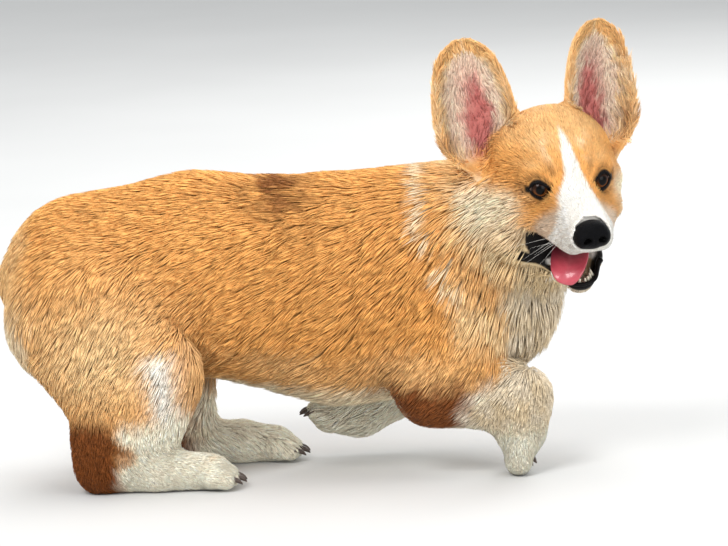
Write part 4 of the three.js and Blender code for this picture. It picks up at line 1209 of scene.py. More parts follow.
class Nodes:
    """Lays out one material's nodes."""

    def __init__(self, name: str) -> None:
        """Starts a material with a Principled shader."""
        self.material = bpy.data.materials.new(name)
        self.material.use_nodes = True
        self.tree = self.material.node_tree
        self.shader = self.tree.nodes["Principled BSDF"]

    def add(self, kind: str, **settings: object) -> bpy.types.Node:
        """Adds a node with its settings; a setting that names a socket sets its value."""
        made = self.tree.nodes.new(kind)
        for key, value in settings.items():
            if hasattr(made, key):
                setattr(made, key, value)
            else:
                made.inputs[key.replace("_", " ")].default_value = value
        return made

    def link(self, source: bpy.types.NodeSocket, target: bpy.types.NodeSocket) -> None:
        """Joins two sockets."""
        self.tree.links.new(source, target)

    def fixed(self, **values: float) -> None:
        """Sets the shader's own sockets."""
        for key, value in values.items():
            self.shader.inputs[key.replace("_", " ")].default_value = value


def group(
    name: str, inputs: dict[str, tuple[str, object]], outputs: dict[str, str]
) -> tuple[bpy.types.NodeTree, bpy.types.Node, bpy.types.Node]:
    """Starts a shader node group.

    Args:
        name: Its name.
        inputs: Each input's kind and usual value.
        outputs: Each output's kind.

    Returns:
        The group, its input node and its output node.
    """
    tree = bpy.data.node_groups.new(name, "ShaderNodeTree")
    for key, (kind, value) in inputs.items():
        tree.interface.new_socket(key, in_out="INPUT", socket_type=kind).default_value = value
    for key, kind in outputs.items():
        tree.interface.new_socket(key, in_out="OUTPUT", socket_type=kind)
    return tree, tree.nodes.new("NodeGroupInput"), tree.nodes.new("NodeGroupOutput")


def grain_group() -> bpy.types.NodeTree:
    """The fine uneven grain of hair and hide: a shaded colour, a roughness and a height."""
    colour, number = "NodeSocketColor", "NodeSocketFloat"
    inputs = {
        "Colour": (colour, (0.5, 0.5, 0.5, 1)),
        "Scale": (number, 900.0),
        "Change": (number, 0.2),
        "Roughness": (number, 0.6),
    }
    outputs = {"Colour": colour, "Roughness": number, "Height": number}
    tree, given, result = group("Grain", inputs, outputs)

    def add(kind: str, operation: str = "") -> bpy.types.Node:
        made = tree.nodes.new(f"ShaderNode{kind}")
        if operation:
            made.operation = operation
        return made

    place, noise = add("TexCoord"), add("TexNoise")
    centred, scaled = add("Math", "SUBTRACT"), add("Math", "MULTIPLY_ADD")
    tinted, rough = add("VectorMath", "SCALE"), add("Math", "MULTIPLY")
    noise.inputs["Detail"].default_value = 3
    centred.inputs[1].default_value = 0.5
    scaled.inputs[2].default_value = 1.0
    for source, target in (
        (place.outputs["Object"], noise.inputs["Vector"]),
        (given.outputs["Scale"], noise.inputs["Scale"]),
        (noise.outputs["Fac"], centred.inputs[0]),
        (centred.outputs[0], scaled.inputs[0]),
        (given.outputs["Change"], scaled.inputs[1]),
        (given.outputs["Colour"], tinted.inputs[0]),
        (scaled.outputs[0], tinted.inputs["Scale"]),
        (given.outputs["Roughness"], rough.inputs[0]),
        (scaled.outputs[0], rough.inputs[1]),
        (tinted.outputs[0], result.inputs["Colour"]),
        (rough.outputs[0], result.inputs["Roughness"]),
        (noise.outputs["Fac"], result.inputs["Height"]),
    ):
        tree.links.new(source, target)
    return tree


@dataclass(frozen=True)
class Finish:
    """A finish whose colour is painted on the piece's points.

    Attributes:
        name: The material's name.
        roughness: How matt it is.
        change: How much its grain changes the colour.
        scale: How fine its grain is.
        bump: Strength of the grain's bump.
        depth: Depth of the bump in metres.
        coat: Share of clear wet gloss.
        specular: Level of its plain reflection.
        bare: Whether bare places, as marked on the points, shine.
    """

    name: str
    roughness: float = 0.62
    change: float = 0.25
    scale: float = 900.0
    bump: float = 0.25
    depth: float = 0.0006
    coat: float = 0.0
    specular: float = 0.3
    bare: bool = False

    def material(self, grain: bpy.types.NodeTree) -> bpy.types.Material:
        """Builds the material around the shared grain."""
        n = Nodes(self.name)
        paint = n.add("ShaderNodeAttribute", attribute_name="Paint")
        effect = n.add("ShaderNodeGroup", node_tree=grain)
        for key, value in (("Scale", self.scale), ("Change", self.change), ("Roughness", self.roughness)):
            effect.inputs[key].default_value = value
        n.link(paint.outputs["Color"], effect.inputs["Colour"])
        n.link(effect.outputs["Colour"], n.shader.inputs["Base Color"])
        bump = n.add("ShaderNodeBump", Strength=self.bump, Distance=self.depth)
        n.link(effect.outputs["Height"], bump.inputs["Height"])
        n.link(bump.outputs["Normal"], n.shader.inputs["Normal"])
        if self.bare:
            mask = n.add("ShaderNodeAttribute", attribute_name="Bare")
            wet = n.add("ShaderNodeMapRange")
            wet.inputs["To Min"].default_value = self.roughness
            wet.inputs["To Max"].default_value = 0.34
            n.link(mask.outputs["Fac"], wet.inputs["Value"])
            n.link(wet.outputs["Result"], n.shader.inputs["Roughness"])
        else:
            n.link(effect.outputs["Roughness"], n.shader.inputs["Roughness"])
        n.fixed(Specular_IOR_Level=self.specular, Coat_Weight=self.coat, Coat_Roughness=0.12)
        return n.material


HAIR = Finish("coat_hair", 0.58, change=0.22, scale=260, bump=0.0, specular=0.22)
SKIN = Finish("skin", 0.8, change=0.5, scale=1400, bump=0.6, depth=0.0008, specular=0.08, bare=True)
WET = Finish("tongue_wet", 0.34, change=0.3, scale=1300, bump=0.35, coat=0.45, specular=0.5)
LIP = Finish("lip_hide", 0.34, change=0.4, bump=0.3, depth=0.0005, specular=0.08)
ENAMEL = Finish("tooth", 0.25, change=0.1, scale=500, bump=0.05, coat=0.3, specular=0.5)
HORN = Finish("claw_horn", 0.38, change=0.3, scale=700, bump=0.15, specular=0.45)
PEBBLE = Finish("nose_hide", 0.42, change=0.3, scale=1500, bump=0.8, depth=0.0008, specular=0.07)
EYE = Finish("eye_gloss", 0.06, change=0.35, scale=1800, bump=0.0, coat=0.12, specular=0.07)
WHISKER = Finish("whisker", 0.4, change=0.05, scale=500, bump=0.0, specular=0.4)


# Skin


@dataclass
class Skin:
    """The one skin of the whole animal, inside the tips of its coat."""

    workshop: Workshop
    coated: Coated
    markings: Markings
    cell: float = 1.3
    most_triangles: int = 180000
    low: Triple = (-232.0, -162.0, 0.4)
    high: Triple = (266.0, 100.0, 338.0)
    stands_for: Sequence[str] = (
        "head", "ear_right", "ear_left", "lower_jaw", "neck", "trunk", "tail",
        "thigh_right", "shank_right", "foot_right", "thigh_left", "shank_left", "foot_left",
        "upper_arm_right", "forearm_right", "paw_right", "upper_arm_left", "forearm_left", "paw_left",
    )

    def build(self) -> bpy.types.Object:
        """Casts the skin, thins its mesh away from the head, unwraps and paints it."""
        cell = self.cell
        floor = lambda p: np.maximum(self.coated.skin(p), 0.7 - p[:, 2])
        points, quads = cast(floor, self.low, self.high, cell)
        made = self.workshop.piece("skin", points, quads)
        log.info("skin cast: %d quads", len(quads))
        near = np.linalg.norm(points - np.array(HEAD.place), axis=1)
        fineness = made.vertex_groups.new(name="thin")
        for share, picked in ((1.0, near > 130), (0.35, (near <= 130) & (near > 85)), (0.0, near <= 85)):
            fineness.add(np.nonzero(picked)[0].tolist(), share, "REPLACE")
        thin = made.modifiers.new("thin", "DECIMATE")
        thin.ratio = min(1.0, self.most_triangles / (2 * len(quads)))
        thin.vertex_group = "thin"
        view = bpy.context.view_layer
        view.objects.active = made
        made.select_set(True)
        bpy.ops.object.modifier_apply(modifier="thin")
        made.vertex_groups.clear()
        self.keep_largest(made)
        self.unwrap(made)
        made.data.shade_smooth()
        colour, bare = self.markings.at(self.workshop.points(made))
        # painted shade: wherever the coat covers it the skin is painted at 0.8 of its colour, for the shade
        # under the hair; bare skin keeps its full colour
        paint(made.data, colour * (0.8 + 0.2 * np.clip(bare, 0, 1)[:, None]))
        marks = made.data.attributes.new("Bare", "FLOAT", "POINT").data
        marks.foreach_set("value", bare.astype(np.float32))
        return made

    @staticmethod
    def keep_largest(made: bpy.types.Object) -> None:
        """Drops loose crumbs of the cast."""
        bm = bmesh.new()
        bm.from_mesh(made.data)
        seen: set[int] = set()
        islands: list[list[bmesh.types.BMVert]] = []
        for start in bm.verts:
            if start.index in seen:
                continue
            seen.add(start.index)
            island, front = [start], [start]
            while front:
                for edge in front.pop().link_edges:
                    for v in edge.verts:
                        if v.index not in seen:
                            seen.add(v.index)
                            island.append(v)
                            front.append(v)
            islands.append(island)
        islands.sort(key=len)
        crumbs = [v for island in islands[:-1] for v in island]
        if crumbs:
            bmesh.ops.delete(bm, geom=crumbs, context="VERTS")
            log.info("dropped %d crumbs", len(islands) - 1)
        bmesh.ops.triangulate(bm, faces=bm.faces)
        bm.to_mesh(made.data)
        bm.free()

    @staticmethod
    def unwrap(made: bpy.types.Object) -> None:
        """Unwraps the skin along its own shape into its OFBake UV map."""
        made.data.uv_layers.new(name="OFBake")
        bpy.ops.object.mode_set(mode="EDIT")
        bpy.ops.mesh.select_all(action="SELECT")
        bpy.ops.uv.smart_project(angle_limit=math.radians(70), island_margin=0.001)
        bpy.ops.object.mode_set(mode="OBJECT")


# Coat


EAR_SHARE = 0.3
LONG_TUFT = 8.5
COAT_SLOTS = {"face": "head", "foreleg": "forearm_right", "hind_leg": "thigh_right", "chest": "neck"}


@dataclass
class Tufts:
    """Roots of the coat with everything that shapes them."""

    root: Array
    out: Array
    uv: Array
    length: Array
    width: Array
    depth: Array
    lie: Array
    colour: Array
    clump: Array
    proud: Array


@dataclass
class Coat:
    """Solid tufts of hair that lie along the body, over the skin."""

    workshop: Workshop
    coated: Coated
    markings: Markings
    skin: bpy.types.Object
    cover: float = 4.0
    face_cover: float = 3.4
    seed: int = 7
    most: int = 195000
    patch: float = 0.003
    fine: float = 0.55

    def sample(self, share: float) -> Tufts:
        """Roots spread over the skin, closer where the tufts are small.

        Args:
            share: Share of the full count.

        Returns:
            The roots and their measures.
        """
        rng = np.random.default_rng(self.seed)
        mesh = self.skin.data
        count = len(mesh.polygons)
        corner = np.empty(count * 3, np.int32)
        mesh.loops.foreach_get("vertex_index", corner)
        corner = corner.reshape(-1, 3)
        co = self.workshop.points(self.skin)
        normal = read_rows(mesh.vertices, "normal", 3)
        uv = read_rows(mesh.uv_layers["OFBake"].data, "uv", 2).reshape(-1, 3, 2)
        tri = co[corner]
        area = np.linalg.norm(np.cross(tri[:, 1] - tri[:, 0], tri[:, 2] - tri[:, 0]), axis=1) / 2
        middle = tri.mean(1)
        rest, _ = COAT.measures(middle)
        length, width = rest[:, 1], rest[:, 2] * self.fine
        q = carried(self.coated.to_head, middle)
        _, ear, ear_bare = self.markings.ears(q)
        length = length * (1 - ear) + 6 * ear
        width = width * (1 - ear) + 0.55 * ear
        _, bare = self.markings.at(middle)
        off = np.linalg.norm(q / np.array([95, 72, 72]) + np.array([0.2, 0, 0]), axis=1)
        face = (off < 1) | (ear > EAR_SHARE)
        cover = np.where(face, self.face_cover * (1 - 0.4 * ear), self.cover)
        closed = np.where(ear > EAR_SHARE, 1 - 0.72 * ear_bare, step(0.5, 0.2, bare))
        wanted = area * cover * share / (0.62 * length * width) * closed
        wanted *= middle[:, 2] > 2.2
        times = np.floor(wanted + rng.random(count)).astype(int)
        which = np.repeat(np.arange(count), times)
        a, b = rng.random((2, len(which), 1)).astype(np.float32)
        flip = (a + b) > 1
        a, b = np.where(flip, 1 - a, a), np.where(flip, 1 - b, b)
        weigh = lambda t: t[:, 0] * (1 - a - b) + t[:, 1] * a + t[:, 2] * b
        root, out, at_uv = weigh(tri[which]), unit(weigh(normal[corner[which]])), weigh(uv[which])
        return self.measure(root.astype(np.float32), out, at_uv, rng)

    def measure(self, root: Array, out: Array, uv: Array, rng: np.random.Generator) -> Tufts:
        """Gives each root its length, lie and colour."""
        rest, lie = COAT.measures(root)
        depth, length, width = rest.T
        width = width * self.fine
        q = carried(self.coated.to_head, root)
        _, ear, _ = self.markings.ears(q)
        clump = np.clip(0.1 + 0.016 * (length - 4), 0.08, 0.42)
        edge = q[:, 2] - HEAD.lip_line(q[:, 0])
        at_lip = (np.abs(q[:, 1]) < 40) & (q[:, 0] > -12) & (np.abs(edge - 3) < 4)
        length = length * np.where(at_lip, 0.6, 1.0)
        proud = np.clip((length - 21) * 0.55, 0, 4.5)
        strand = np.full(len(root), 0.1)
        for one in EARS:
            t, u, v = one.places(q)
            half, dip = one.half_and_depth(t)
            k = np.sqrt((u / half) ** 2 + (v / dip) ** 2)
            mine = (ear > EAR_SHARE) & (one.share(q, t) > EAR_SHARE)
            inside = mine & (k < 0.97) & (v < 2)
            _, up, ahead, across, _ = one.axes()
            side, off = np.sign(u)[:, None] * across[None], np.abs(u / half)
            outer_lie = up[None] + 0.16 * side * np.clip(0.8 - t, 0, 1)[:, None]
            inward = 0.8 * side * step(0.2, 0.9, off)[:, None]
            chosen = np.where(inside[:, None], 0.9 * up[None] - inward + 0.5 * ahead[None], outer_lie)
            lie[mine] = turned(HEAD.matrix, unit(chosen))[mine]
            rim = step(0.55, 0.95, off) * step(0.95, 0.7, t)
            length[mine] = np.where(inside, 8 + 10 * rim, np.interp(t, [0, 0.25, 1], [10, 6, 4.2]))[mine]
            width[mine] = np.where(inside, 0.62, 0.6)[mine]
            depth[mine] = 0.3
            proud[mine] = np.where(inside, 2.2 + 3.4 * rim, 1.3)[mine]
            clump[mine] = np.where(inside, 0.55, 0.15)[mine]
            strand[inside] = 0.2
        # whorls and stray hairs
        tangent = unit(lie - out * (lie * out).sum(1, keepdims=True))
        other = np.cross(out, tangent)
        angle = 0.17 * ripple(root, 40, 41) + 0.08 * ripple(root, 11, 42)
        angle = (angle + rng.normal(0, 0.09, len(root)))[:, None]
        angle *= np.where(length < 7, 0.7, 1.0)[:, None]
        tangent = tangent * np.cos(angle) + other * np.sin(angle)
        colour, _ = self.markings.at(root)
        light = 1 + rng.normal(0, 1, len(root)) * strand + 0.06 * ripple(root, 12, 43)
        colour = colour * np.clip(light, 0.6, 1.35)[:, None]
        length = length * rng.uniform(0.72, 1.18, len(root))
        width = width * rng.uniform(0.75, 1.2, len(root))
        return Tufts(root, out, uv, length, width, depth, tangent, colour, clump, proud)

    def lines(self, t: Tufts) -> tuple[Array, Array, Array]:
        """Bends each tuft along the body.

        Args:
            t: The tufts.

        Returns:
            A point at two fifths, one at seven tenths, and the tip.
        """
        rng = np.random.default_rng(self.seed + 1)
        spots, at, way = [], t.root, t.lie
        t.depth = np.clip(-self.coated.tips(t.root.astype(np.float32)), 0.3, t.depth)
        level = rng.uniform(0.0, 1.0, len(t.root)) ** 0.6
        last = 0.0
        for share, height in ((0.4, 0.5), (0.72, 0.82), (1.0, 1.0)):
            at = at + way * (t.length * (share - last))[:, None]
            last = share
            d, g = self.coated.slope(at.astype(np.float32))
            size = np.maximum((g * g).sum(1), 0.25)
            wanted = -t.depth * (1 - height * (0.55 + 0.45 * level)) + t.proud * share**2 * level
            push = np.clip((wanted - d) / size, -4.5, 4.5)
            at = at + g * push[:, None]
            out = unit(g)
            way = way - out * (way * out).sum(1, keepdims=True) * 0.8
            way = unit(way + np.array([0, 0, -0.05]) * (t.length / 20)[:, None])
            spots.append(at)
        return self.gather(t, spots)

    def gather(self, t: Tufts, spots: list[Array]) -> tuple[Array, Array, Array]:
        """Draws the tips of neighbouring tufts together."""
        rng = np.random.default_rng(self.seed + 2)
        guides = np.nonzero(rng.random(len(t.root)) < np.where(t.length > 9, 0.09, 0.14))[0]
        tree = kdtree.KDTree(len(guides))
        for i, g in enumerate(guides):
            tree.insert(t.root[g].tolist(), i)
        tree.balance()
        own = guides[np.array([tree.find(r)[1] for r in t.root.tolist()])]
        spread = np.linalg.norm(t.root - t.root[own], axis=1)
        pull = t.clump * np.clip(1.3 - spread / np.maximum(t.length, 3) * 1.1, 0, 1)
        pulled = []
        for spot, share in zip(spots, (0.25, 0.65, 1.0)):
            moved = spot + (spot[own] - spot) * (pull * share)[:, None]
            moved[:, 2] = np.maximum(moved[:, 2], 0.5)
            pulled.append(moved)
        t.colour = t.colour * (1 - 0.10 * pull[:, None]) + t.colour[own] * 0.10 * pull[:, None]
        return pulled[0], pulled[1], pulled[2]

    def label(self, t: Tufts) -> dict[str, Array]:
        """Parts the coat into named pieces."""
        q = carried(self.coated.to_head, t.root)
        _, ear, _ = self.markings.ears(q)
        x, y, z = t.root.T
        head = (np.linalg.norm((q + [18, 0, 8]) / [86, 68, 66], axis=1) < 1.06) & (ear < EAR_SHARE)
        left = q[:, 1] > 0
        picks = {
            "ear_right": (ear >= EAR_SHARE) & ~left,
            "ear_left": (ear >= EAR_SHARE) & left,
            "face_right": head & ~left,
            "face_left": head & left,
        }
        body = ~(head | (ear >= EAR_SHARE))
        side = np.where(y < 0, "right", "left")
        for word in ("right", "left"):
            mine = body & (side == word)
            low = z < 60
            picks[f"foreleg_{word}"] = mine & low & (x > 0)
            picks[f"hind_leg_{word}"] = mine & low & (x <= 0)
            picks[f"chest_{word}"] = mine & ~low & (x > 118)
            picks[f"shoulder_{word}"] = mine & ~low & (x > 40) & (x <= 118)
            picks[f"flank_{word}"] = mine & ~low & (x > -70) & (x <= 40)
            picks[f"rump_{word}"] = mine & ~low & (x <= -70)
        return picks

    def build(self) -> list[tuple[bpy.types.Object, str]]:
        """Makes every piece of the coat.

        Returns:
            The pieces, each with its slot.
        """
        tufts = self.sample(1.0)
        log.info("%d tufts", len(tufts.root))
        spots = self.lines(tufts)
        made = []
        for word, picked in self.label(tufts).items():
            which = np.nonzero(picked)[0]
            faces = np.where(tufts.length[which] > LONG_TUFT, 12, 6).sum()
            parts = max(1, math.ceil(faces / self.most))
            order = which[np.argsort(tufts.root[which, 0], kind="stable")]
            kind = word.rsplit("_", 1)[0]
            slot = word if kind == "ear" else COAT_SLOTS.get(kind, "trunk")
            for n, some in enumerate(np.array_split(order, parts)):
                if len(some):
                    name = f"coat_{word}" if parts == 1 else f"coat_{word}_{n + 1}"
                    made.append((self.mesh(name, tufts, spots, some), slot))
        return made

    def mesh(self, name: str, t: Tufts, spots: tuple[Array, Array, Array], some: Array) -> bpy.types.Object:
        """Makes one piece: every tuft a closed spindle of three sides.

        Args:
            name: Its name.
            t: The tufts.
            spots: Their bent lines.
            some: Which of them belong to it.

        Returns:
            The object.
        """
        points, faces, colours, patches = [], [], [], []
        base = 0
        for long in (True, False):
            ids = some[(t.length[some] > LONG_TUFT) == long]
            if not len(ids):
                continue
            root, out, lie = t.root[ids], t.out[ids], t.lie[ids]
            a, b, tip = (s[ids] for s in spots)
            start = root - out * 0.6 - lie * 0.4
            rings = [(a * 0.8 + root * 0.2, 1.0), (b, 0.74)] if long else [(a * 0.75 + root * 0.25, 1.0)]
            line = [start] + [r for r, _ in rings] + [tip]
            parts = [start[:, None]]
            for i, (centre, share) in enumerate(rings):
                along = unit(line[i + 2] - line[i])
                across = unit(np.cross(along, out))
                up = np.cross(across, along)
                half = (t.width[ids] / 2 * share)[:, None]
                side, rise = across * half, up * half * 0.9
                parts.append(np.stack([centre - side, centre + side, centre + rise], 1))
            parts.append(tip[:, None])
            block = np.concatenate(parts, 1)
            per = block.shape[1]
            one, patch = self.spindle(len(rings))
            points.append(block.reshape(-1, 3))
            faces.append((one[None] + (np.arange(len(ids)) * per)[:, None, None] + base).reshape(-1, 3))
            # painted shade: each tuft is painted darker toward its root, deep in the coat where shade
            # falls, and a little lighter at its tip
            painted_root_shade = [0.8] + [s for s in ((0.94, 1.03) if long else (1.0,)) for _ in range(3)] + [1.12]
            colours.append((t.colour[ids][:, None] * np.array(painted_root_shade)[None, :, None]).reshape(-1, 3))
            patches.append((t.uv[ids][:, None, None] + (patch[None] - 0.5) * self.patch).reshape(-1, 2))
            base += len(ids) * per
        made = self.workshop.piece(name, np.concatenate(points), np.concatenate(faces))
        paint(made.data, np.clip(np.concatenate(colours), 0, 1))
        layer = made.data.uv_layers.new(name="OFBake")
        corners = np.clip(np.concatenate(patches), 0.0005, 0.9995)
        layer.data.foreach_set("uv", corners.astype(np.float32).ravel())
        return made

    @staticmethod
    def spindle(rings: int) -> tuple[Array, Array]:
        """Faces of one tuft, and the place of each face's corners on its patch."""
        faces, patch = [], []
        tip = 1 + 3 * rings
        spot = lambda s, r: (s / 3, r / (rings + 1))
        for s in range(3):
            a, b = 1 + s, 1 + (s + 1) % 3
            faces.append((0, b, a))
            patch.append((spot(s + 0.5, 0), spot(s + 1, 1), spot(s, 1)))
            for r in range(rings - 1):
                c, d = a + 3 * r, b + 3 * r
                faces += [(c, d, d + 3), (c, d + 3, c + 3)]
                near, far = spot(s, r + 1), spot(s + 1, r + 2)
                patch += [(near, spot(s + 1, r + 1), far), (near, far, spot(s, r + 2))]
            c, d = a + 3 * (rings - 1), b + 3 * (rings - 1)
            faces.append((c, d, tip))
            patch.append((spot(s, rings), spot(s + 1, rings), spot(s + 0.5, rings + 1)))
        return np.array(faces), np.array(patch, np.float32)


# Face details


def tube(bm: bmesh.types.BMesh, centres: Array, radii: Array, sides: int = 8, ring: bool = False) -> None:
    """Sweeps circles along a line and bridges them.

    Args:
        bm: Where it goes.
        centres: The line.
        radii: A radius for each of its points.
        sides: Sides of the circles.
        ring: Whether the line closes on itself.
    """
    loops = []
    count = len(centres)
    for i in range(count):
        after = centres[(i + 1) % count] if ring else centres[min(i + 1, count - 1)]
        before = centres[i - 1] if ring else centres[max(i - 1, 0)]
        turn = Vector(after - before).to_track_quat("Z", "Y").to_matrix().to_4x4()
        place = Matrix.Translation(Vector(centres[i])) @ turn
        size = float(radii[i])
        made = bmesh.ops.create_circle(bm, cap_ends=False, segments=sides, radius=size, matrix=place)
        loops.append(list({e for v in made["verts"] for e in v.link_edges}))
    bridge(bm, loops, ring)


def bridge(bm: bmesh.types.BMesh, loops: list[list], ring: bool = False) -> None:
    """Joins loops of edges in turn, and closes the ends unless they form a ring."""
    pairs = list(zip(loops, loops[1:])) + ([(loops[-1], loops[0])] if ring else [])
    for one, two in pairs:
        bmesh.ops.bridge_loops(bm, edges=one + two)
    if not ring:
        for end in (loops[0], loops[-1]):
            bmesh.ops.contextual_create(bm, geom=end)


@dataclass
class Eyes:
    """Glossy eyeballs with domed corneas, and the dark rims of their lids."""

    workshop: Workshop
    turns: int = 48

    def ball(self, side: Side) -> bpy.types.Object:
        """Spins one eyeball about its line of sight."""
        radius = HEAD.eye_radius
        profile = []
        for i in range(33):
            angle = math.pi * i / 32
            r = radius + 0.75 * math.exp(-((angle / 0.5) ** 4))
            profile.append((r * math.cos(angle), 0.0, r * math.sin(angle)))
        bm = bmesh.new()
        verts = [bm.verts.new(p) for p in profile]
        edges = [bm.edges.new(pair) for pair in zip(verts, verts[1:])]
        bmesh.ops.spin(
            bm,
            geom=verts + edges,
            cent=(0, 0, 0),
            axis=(1, 0, 0),
            angle=2 * math.pi,
            steps=self.turns,
            use_merge=True,
        )
        bmesh.ops.remove_doubles(bm, verts=bm.verts, dist=1e-4)
        return self.workshop.from_bmesh(f"eyeball_{side.word}", bm, HEAD.matrix @ HEAD.eye_matrix(side))

    def paint(self, made: bpy.types.Object, side: Side) -> None:
        """Paints pupil, iris and white by the distance from the line of sight."""
        p = self.workshop.points(made, HEAD.matrix @ HEAD.eye_matrix(side))
        away = np.degrees(np.arctan2(np.hypot(p[:, 1], p[:, 2]), p[:, 0]))
        # painted light: the iris is painted lighter in its lower part, where light through the cornea falls
        # on it
        lit_below = 0.85 * step(0, 1, hill((away - 25) / 8)) * step(2.5, -4, p[:, 2])
        colour = lay(plain(PALETTE.iris, len(p)), PALETTE.iris_lit_below, lit_below)
        colour = lay(colour, PALETTE.pupil, step(19, 16.5, away))
        colour = lay(colour, PALETTE.iris_edge, step(34, 38, away))
        paint(made.data, lay(colour, PALETTE.eye_white, step(43, 47, away)))

    def rim(self, side: Side) -> bpy.types.Object:
        """Sweeps the lids' dark edge round the opening."""
        edge = almond_edge(44)
        reach = HEAD.eye_radius + 0.55
        y, z = -side.value * edge[:, 0], edge[:, 1]
        x = np.sqrt(np.maximum(reach**2 - y * y - z * z, 4.0))
        centres = np.stack([x, y, z], 1)
        inner = step(0.2, 1.0, edge[:, 0] / (HEAD.eye_radius * 0.9))
        outer = step(0.6, 1.0, -edge[:, 0] / (HEAD.eye_radius * 0.9))
        radii = 0.9 + 0.3 * inner + 0.15 * (edge[:, 1] > 0) - 0.35 * outer
        bm = bmesh.new()
        tube(bm, centres, radii, 8, ring=True)
        made = self.workshop.from_bmesh(f"lid_rim_{side.word}", bm, HEAD.matrix @ HEAD.eye_matrix(side))
        paint(made.data, PALETTE.lid)
        return made


@dataclass
class Nose:
    """The nose pad with its nostrils, slits and middle groove."""

    workshop: Workshop
    cell: float = 0.62

    def build(self) -> bpy.types.Object:
        """Casts the pad in the head's frame and paints it."""
        hole = both_sides(orb([58.2, 5.2, -23.0], [4.2, 2.6, 2.0]))
        slit = both_sides(limb([56.8, 6.8, -24.0], [51.0, 12.4, -26.6], 1.3, 0.7))
        groove = limb([60.2, 0, -20.4], [57.2, 0, -33], 0.55, 0.9)
        form = carve(1.2, carve(1.0, carve(1.2, NOSE_PAD, hole), slit), groove)
        keep = orb([52.5, 0, -21.8], [12.4, 15.4, 12.2])
        points, quads = cast(overlap(2.5, form, keep), (34, -19, -38), (64, 19, -4), self.cell)
        made = self.workshop.piece("nose_pad", carried(HEAD.matrix, points), quads)
        w = ripple(points, 5, 61)
        colour = plain(PALETTE.nose, len(points)) * (1 + 0.25 * w[:, None])
        deep = np.minimum(hole(points), slit(points))
        paint(made.data, np.clip(lay(colour, PALETTE.nostril, step(1.6, 0.2, deep)), 0, 1))
        return made


